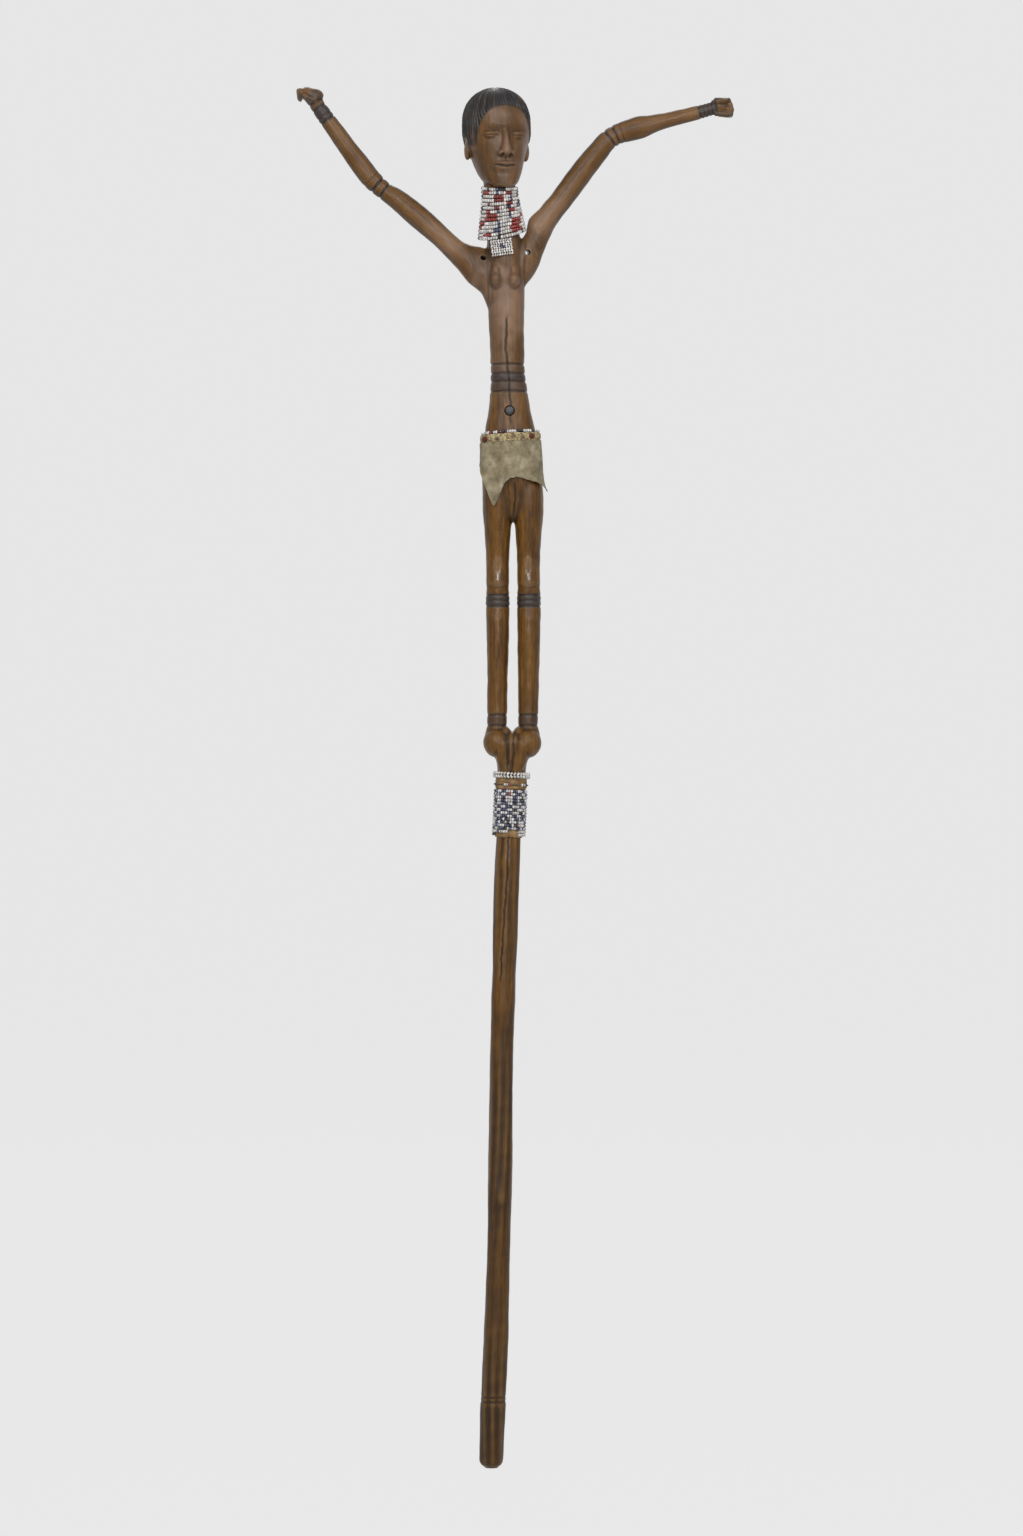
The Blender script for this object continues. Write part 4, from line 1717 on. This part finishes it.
# %% Waistband
BAND_MIDDLE = 744.5
BAND_HALF = (19.6, 14.9)
BAND_STEPS, BAND_SIDES = 300, 36
WAIST_SLOPE = math.tan(WAIST_TILT)
STUD_PLACES = ((-4.6, 743.3), (29.0, 745.6))  # x and height
SMUDGE_PLACES = ((4.0, 743.4), (16.3, 745.2), (22.5, 744.8))
STITCH_ANGLE = 2 * math.pi - 0.96  # where the stitching runs round the roll's section
around = np.linspace(0, 2 * math.pi, BAND_STEPS, endpoint=False)[:, None]
section = np.linspace(0, 2 * math.pi, BAND_SIDES, endpoint=False)[None, :]
roll = (
    0.1 * np.sin(around * 7 + 1)
    + 0.06 * np.sin(around * 17 + section * 2)
    + 0.05 * np.sin(around * 29 + 2)
)
crease = 0.35 * np.exp(-((np.sin((section + 0.5) / 2) / 0.08) ** 2))
out = 0.6 + 0.9 * (1 + np.cos(section)) * (1 + 0.5 * roll) - crease
x = (BAND_HALF[0] + out) * np.sin(around)
y = -(BAND_HALF[1] + out) * np.cos(around)
z = 3.3 * np.sin(section) * (1 + 0.6 * roll) + x * WAIST_SLOPE
flat = np.stack([x + lean(BAND_MIDDLE), y, z + BAND_MIDDLE], -1).reshape(-1, 3)


def spots_near(points, places, radius):
    """1 at each of some places on the front, falling to 0 over a radius."""
    near = [
        np.exp(-(((points[:, 0] - x) ** 2 + (points[:, 2] - z) ** 2) / radius**2) ** 2) for x, z in places
    ]
    return np.maximum.reduce(near) * (points[:, 1] < 0)


studs = spots_near(flat, STUD_PLACES, 2.3)
smudges = spots_near(flat, SMUDGE_PLACES, 1.9)
stitched = np.broadcast_to(bell(section, STITCH_ANGLE, 0.13), roll.shape).ravel()
outward = np.stack([np.sin(around) + 0 * roll, -np.cos(around) + 0 * roll, 0 * roll], -1).reshape(-1, 3)
flat = flat + outward * (0.35 * studs - 0.2 * stitched)[:, None]
waistband = mesh_object("hide_waistband_rolled", flat * MM, ring_faces(BAND_STEPS, BAND_SIDES))
store(waistband, "stud", studs)
store(waistband, "smudge", np.maximum(0.8 * smudges, 0.7 * stitched))
shade_smooth(waistband)
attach(waistband, "staff")
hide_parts("hide_waistband")
print("waistband:", face_count(waistband), "triangles")

# %% [markdown]
# The apron
#
# The apron is a piece of goat hide cut to a point on one side and a tail on the other: 56 mm
# along its flared lower part and 47 mm to its longest corner. It wraps the front of the hips
# and stands away from them in three soft folds that grow towards the hem. Its top edge stays
# under the waistband when the apron is lifted, and the hide bends in the 18 mm below it.

# %% Apron
APRON_TOP = 741.8
APRON_DROP = 46.2
APRON_HALF = (21.8, 16)
APRON_WRAP = math.radians(70)
HIDE_THICKNESS = 0.9
# the hem: place across the hide, and how much of the full drop it has there
HEM = [
    (0, 0.35), (0.06, 0.43), (0.147, 0.58), (0.216, 0.78), (0.273, 0.975), (0.295, 1.0), (0.318, 0.95),
    (0.366, 0.81), (0.434, 0.65), (0.5, 0.585), (0.566, 0.565), (0.705, 0.615), (0.854, 0.69),
    (0.97, 0.76), (1, 0.81),
]
ACROSS_STEPS, DOWN_STEPS = 150, 84
hem = np.array(HEM)
u = np.linspace(0, 1, ACROSS_STEPS + 1)[:, None]
v = np.linspace(0, 1, DOWN_STEPS + 1)[None, :]
drop = np.interp(u[:, 0], hem[:, 0], hem[:, 1])[:, None] * APRON_DROP
ragged = 0.16 * np.sin(u * 37) + 0.1 * np.sin(u * 83 + 1) + 0.06 * np.sin(u * 171 + 2)


def hide_side(outside):
    """One face of the hide: 0 for the side against the hips, 1 for the outer side."""
    angle = APRON_WRAP * (u * 2 - 1)
    fold = 1.1 * (1 - np.cos(u * math.pi * 6)) * v
    flare = 2.2 * v * u * u + 2.2 * v**5 * u**8
    ripple = 0.22 * np.sin(u * 31 + 5 * v) * v + 0.12 * np.sin(u * 67 + 9 * v + 1)
    curl = 0.7 * np.exp(-(((1 - v) * drop / 2.2) ** 2))
    out = 0.95 + fold + flare + ripple + curl + HIDE_THICKNESS * outside
    x = (APRON_HALF[0] + out) * np.sin(angle)
    y = -(APRON_HALF[1] + out) * np.cos(angle)
    z = x * WAIST_SLOPE - drop * v - ragged * v**4
    return np.stack([x + lean(APRON_TOP), y, z + APRON_TOP], -1)


front, back = hide_side(1.0), hide_side(0.0)
count = front[..., 0].size
grid = np.arange(count).reshape(front.shape[:2])
sheet_faces = np.stack([grid[:-1, :-1], grid[:-1, 1:], grid[1:, 1:], grid[1:, :-1]], -1).reshape(-1, 4)
border = np.concatenate([grid[:-1, 0], grid[-1, :-1], grid[:0:-1, -1], grid[0, :0:-1]])
onward = np.roll(border, -1)
rim = np.stack([border, onward, onward + count, border + count], -1)
faces = np.vstack([sheet_faces, sheet_faces[:, ::-1] + count, rim[:, ::-1]])
apron = mesh_object("hide_apron_goat", np.vstack([front.reshape(-1, 3), back.reshape(-1, 3)]) * MM, faces)
shade_smooth(apron)
middle = (front + back) / 2
BEND_LENGTH = 18
bend_x, bend_y = lean(APRON_TOP) * MM, -APRON_HALF[1] * MM
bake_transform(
    apron, "staff", "apron",
    start=(bend_x, bend_y, APRON_TOP * MM),
    end=(bend_x, bend_y, (APRON_TOP - BEND_LENGTH) * MM),
)
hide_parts("hide_apron")

# %% [markdown]
# Hide and leather
#
# Goat hide scraped on one side: a grey, mottled tan with darker smudges, paler along its edges
# where it has worn, and finely pebbled. The sleeve's leather is warmer, smoother and oily.

# %% Hide material
hide, tree, shader = new_material("goat_hide_scraped_dry", Roughness=0.88, IOR=1.45, Sheen_Weight=0.15)
place = node(tree, "ShaderNodeTexCoord")
skin_space = node(tree, "ShaderNodeMapping", {"Vector": place.outputs["Object"], "Scale": PER_MM})
mottle = node(
    tree, "ShaderNodeTexNoise", {"Vector": skin_space, "Scale": 0.16, "Detail": 4.0, "Roughness": 0.6}
)
smudge = node(tree, "ShaderNodeTexNoise", {"Vector": skin_space, "Scale": 0.07, "Detail": 2.0})
pebble = node(tree, "ShaderNodeTexVoronoi", {"Vector": skin_space, "Scale": 1.1})
speck = node(tree, "ShaderNodeTexNoise", {"Vector": skin_space, "Scale": 0.9, "Detail": 2.0})
tone = node(
    tree,
    "ShaderNodeValToRGB",
    {"Fac": mottle},
    [(0.3, colour("#776c53")), (0.5, colour("#958a6f")), (0.68, colour("#aea388"))],
)
dark = node(
    tree, "ShaderNodeValToRGB", {"Fac": smudge}, [(0.36, (0.7, 0.66, 0.6, 1)), (0.56, (1, 1, 1, 1))]
)
tone = node(tree, "ShaderNodeMix", {0: 1.0, 6: tone, 7: dark}, data_type="RGBA", blend_type="MULTIPLY")
dots = node(tree, "ShaderNodeValToRGB", {"Fac": speck}, [(0.3, (0.7, 0.66, 0.6, 1)), (0.42, (1, 1, 1, 1))])
tone = node(tree, "ShaderNodeMix", {0: 0.8, 6: tone, 7: dots}, data_type="RGBA", blend_type="MULTIPLY")
tree.links.new(tone.outputs[2], shader.inputs["Base Color"])
height = node(tree, "ShaderNodeMath", {0: pebble.outputs["Distance"], 1: mottle}, operation="ADD")
bump = node(tree, "ShaderNodeBump", {"Strength": 0.5, "Distance": 0.4 * MM, "Height": height})
tree.links.new(bump.outputs[0], shader.inputs["Normal"])

rolled, tree, shader = new_material("goat_hide_rolled_greased", Roughness=0.7, IOR=1.45)
stud = node(tree, "ShaderNodeAttribute", attribute_name="stud")
smudge = node(tree, "ShaderNodeAttribute", attribute_name="smudge")
place = node(tree, "ShaderNodeTexCoord")
skin_space = node(tree, "ShaderNodeMapping", {"Vector": place.outputs["Object"], "Scale": PER_MM})
mottle = node(
    tree, "ShaderNodeTexNoise", {"Vector": skin_space, "Scale": 0.6, "Detail": 4.0, "Roughness": 0.65}
)
pebble = node(tree, "ShaderNodeTexNoise", {"Vector": skin_space, "Scale": 1.3, "Detail": 2.0})
tone = node(
    tree,
    "ShaderNodeValToRGB",
    {"Fac": mottle},
    [
        (0.34, colour("#54422a")),
        (0.44, colour("#8b7853")),
        (0.53, colour("#b5a279")),
        (0.66, colour("#cabb95")),
    ],
)
rim = node(tree, "ShaderNodeMapRange", {"Value": stud.outputs["Fac"], "From Min": 0.3, "From Max": 0.6})
tone = node(tree, "ShaderNodeMix", {0: rim, 6: tone, 7: colour("#552a1c")}, data_type="RGBA")
tone = node(
    tree, "ShaderNodeMix", {0: smudge.outputs["Fac"], 6: tone, 7: colour("#463a29")}, data_type="RGBA"
)
tree.links.new(tone.outputs[2], shader.inputs["Base Color"])
bump = node(tree, "ShaderNodeBump", {"Strength": 0.6, "Distance": 0.4 * MM, "Height": pebble})
tree.links.new(bump.outputs[0], shader.inputs["Normal"])

leather, tree, shader = new_material("leather_tanned_brown_greased", Roughness=0.6, IOR=1.48)
place = node(tree, "ShaderNodeTexCoord")
skin_space = node(tree, "ShaderNodeMapping", {"Vector": place.outputs["Object"], "Scale": PER_MM})
creases = node(tree, "ShaderNodeMapping", {"Vector": place.outputs["Object"], "Scale": (160, 160, 1100)})
lines = node(tree, "ShaderNodeTexNoise", {"Vector": creases, "Scale": 0.9, "Detail": 3.0})
stain_map = node(tree, "ShaderNodeTexNoise", {"Vector": skin_space, "Scale": 0.22, "Detail": 3.0})
tone = node(
    tree,
    "ShaderNodeValToRGB",
    {"Fac": stain_map},
    [(0.32, colour("#735735")), (0.52, colour("#917146")), (0.7, colour("#aa8c5e"))],
)
dark = node(tree, "ShaderNodeValToRGB", {"Fac": lines}, [(0.36, (0.55, 0.5, 0.45, 1)), (0.5, (1, 1, 1, 1))])
tone = node(tree, "ShaderNodeMix", {0: 0.7, 6: tone, 7: dark}, data_type="RGBA", blend_type="MULTIPLY")
tree.links.new(tone.outputs[2], shader.inputs["Base Color"])
bump = node(tree, "ShaderNodeBump", {"Strength": 0.5, "Distance": 0.35 * MM, "Height": lines})
tree.links.new(bump.outputs[0], shader.inputs["Normal"])

for piece, material in ((waistband, rolled), (apron, hide), (sleeve, leather)):
    piece.data.materials.append(material)

# %% [markdown]
# Last checks
#
# The finished pieces must fill the same box as the measured frame, so both boxes are written
# down to be compared.

# %% Finish
low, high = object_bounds()
sizes = {"cad": [list(cad_low), list(cad_high)], "scene": [list(low), list(high)]}
print("box:", [round(v / MM, 1) for v in (*low, *high)])
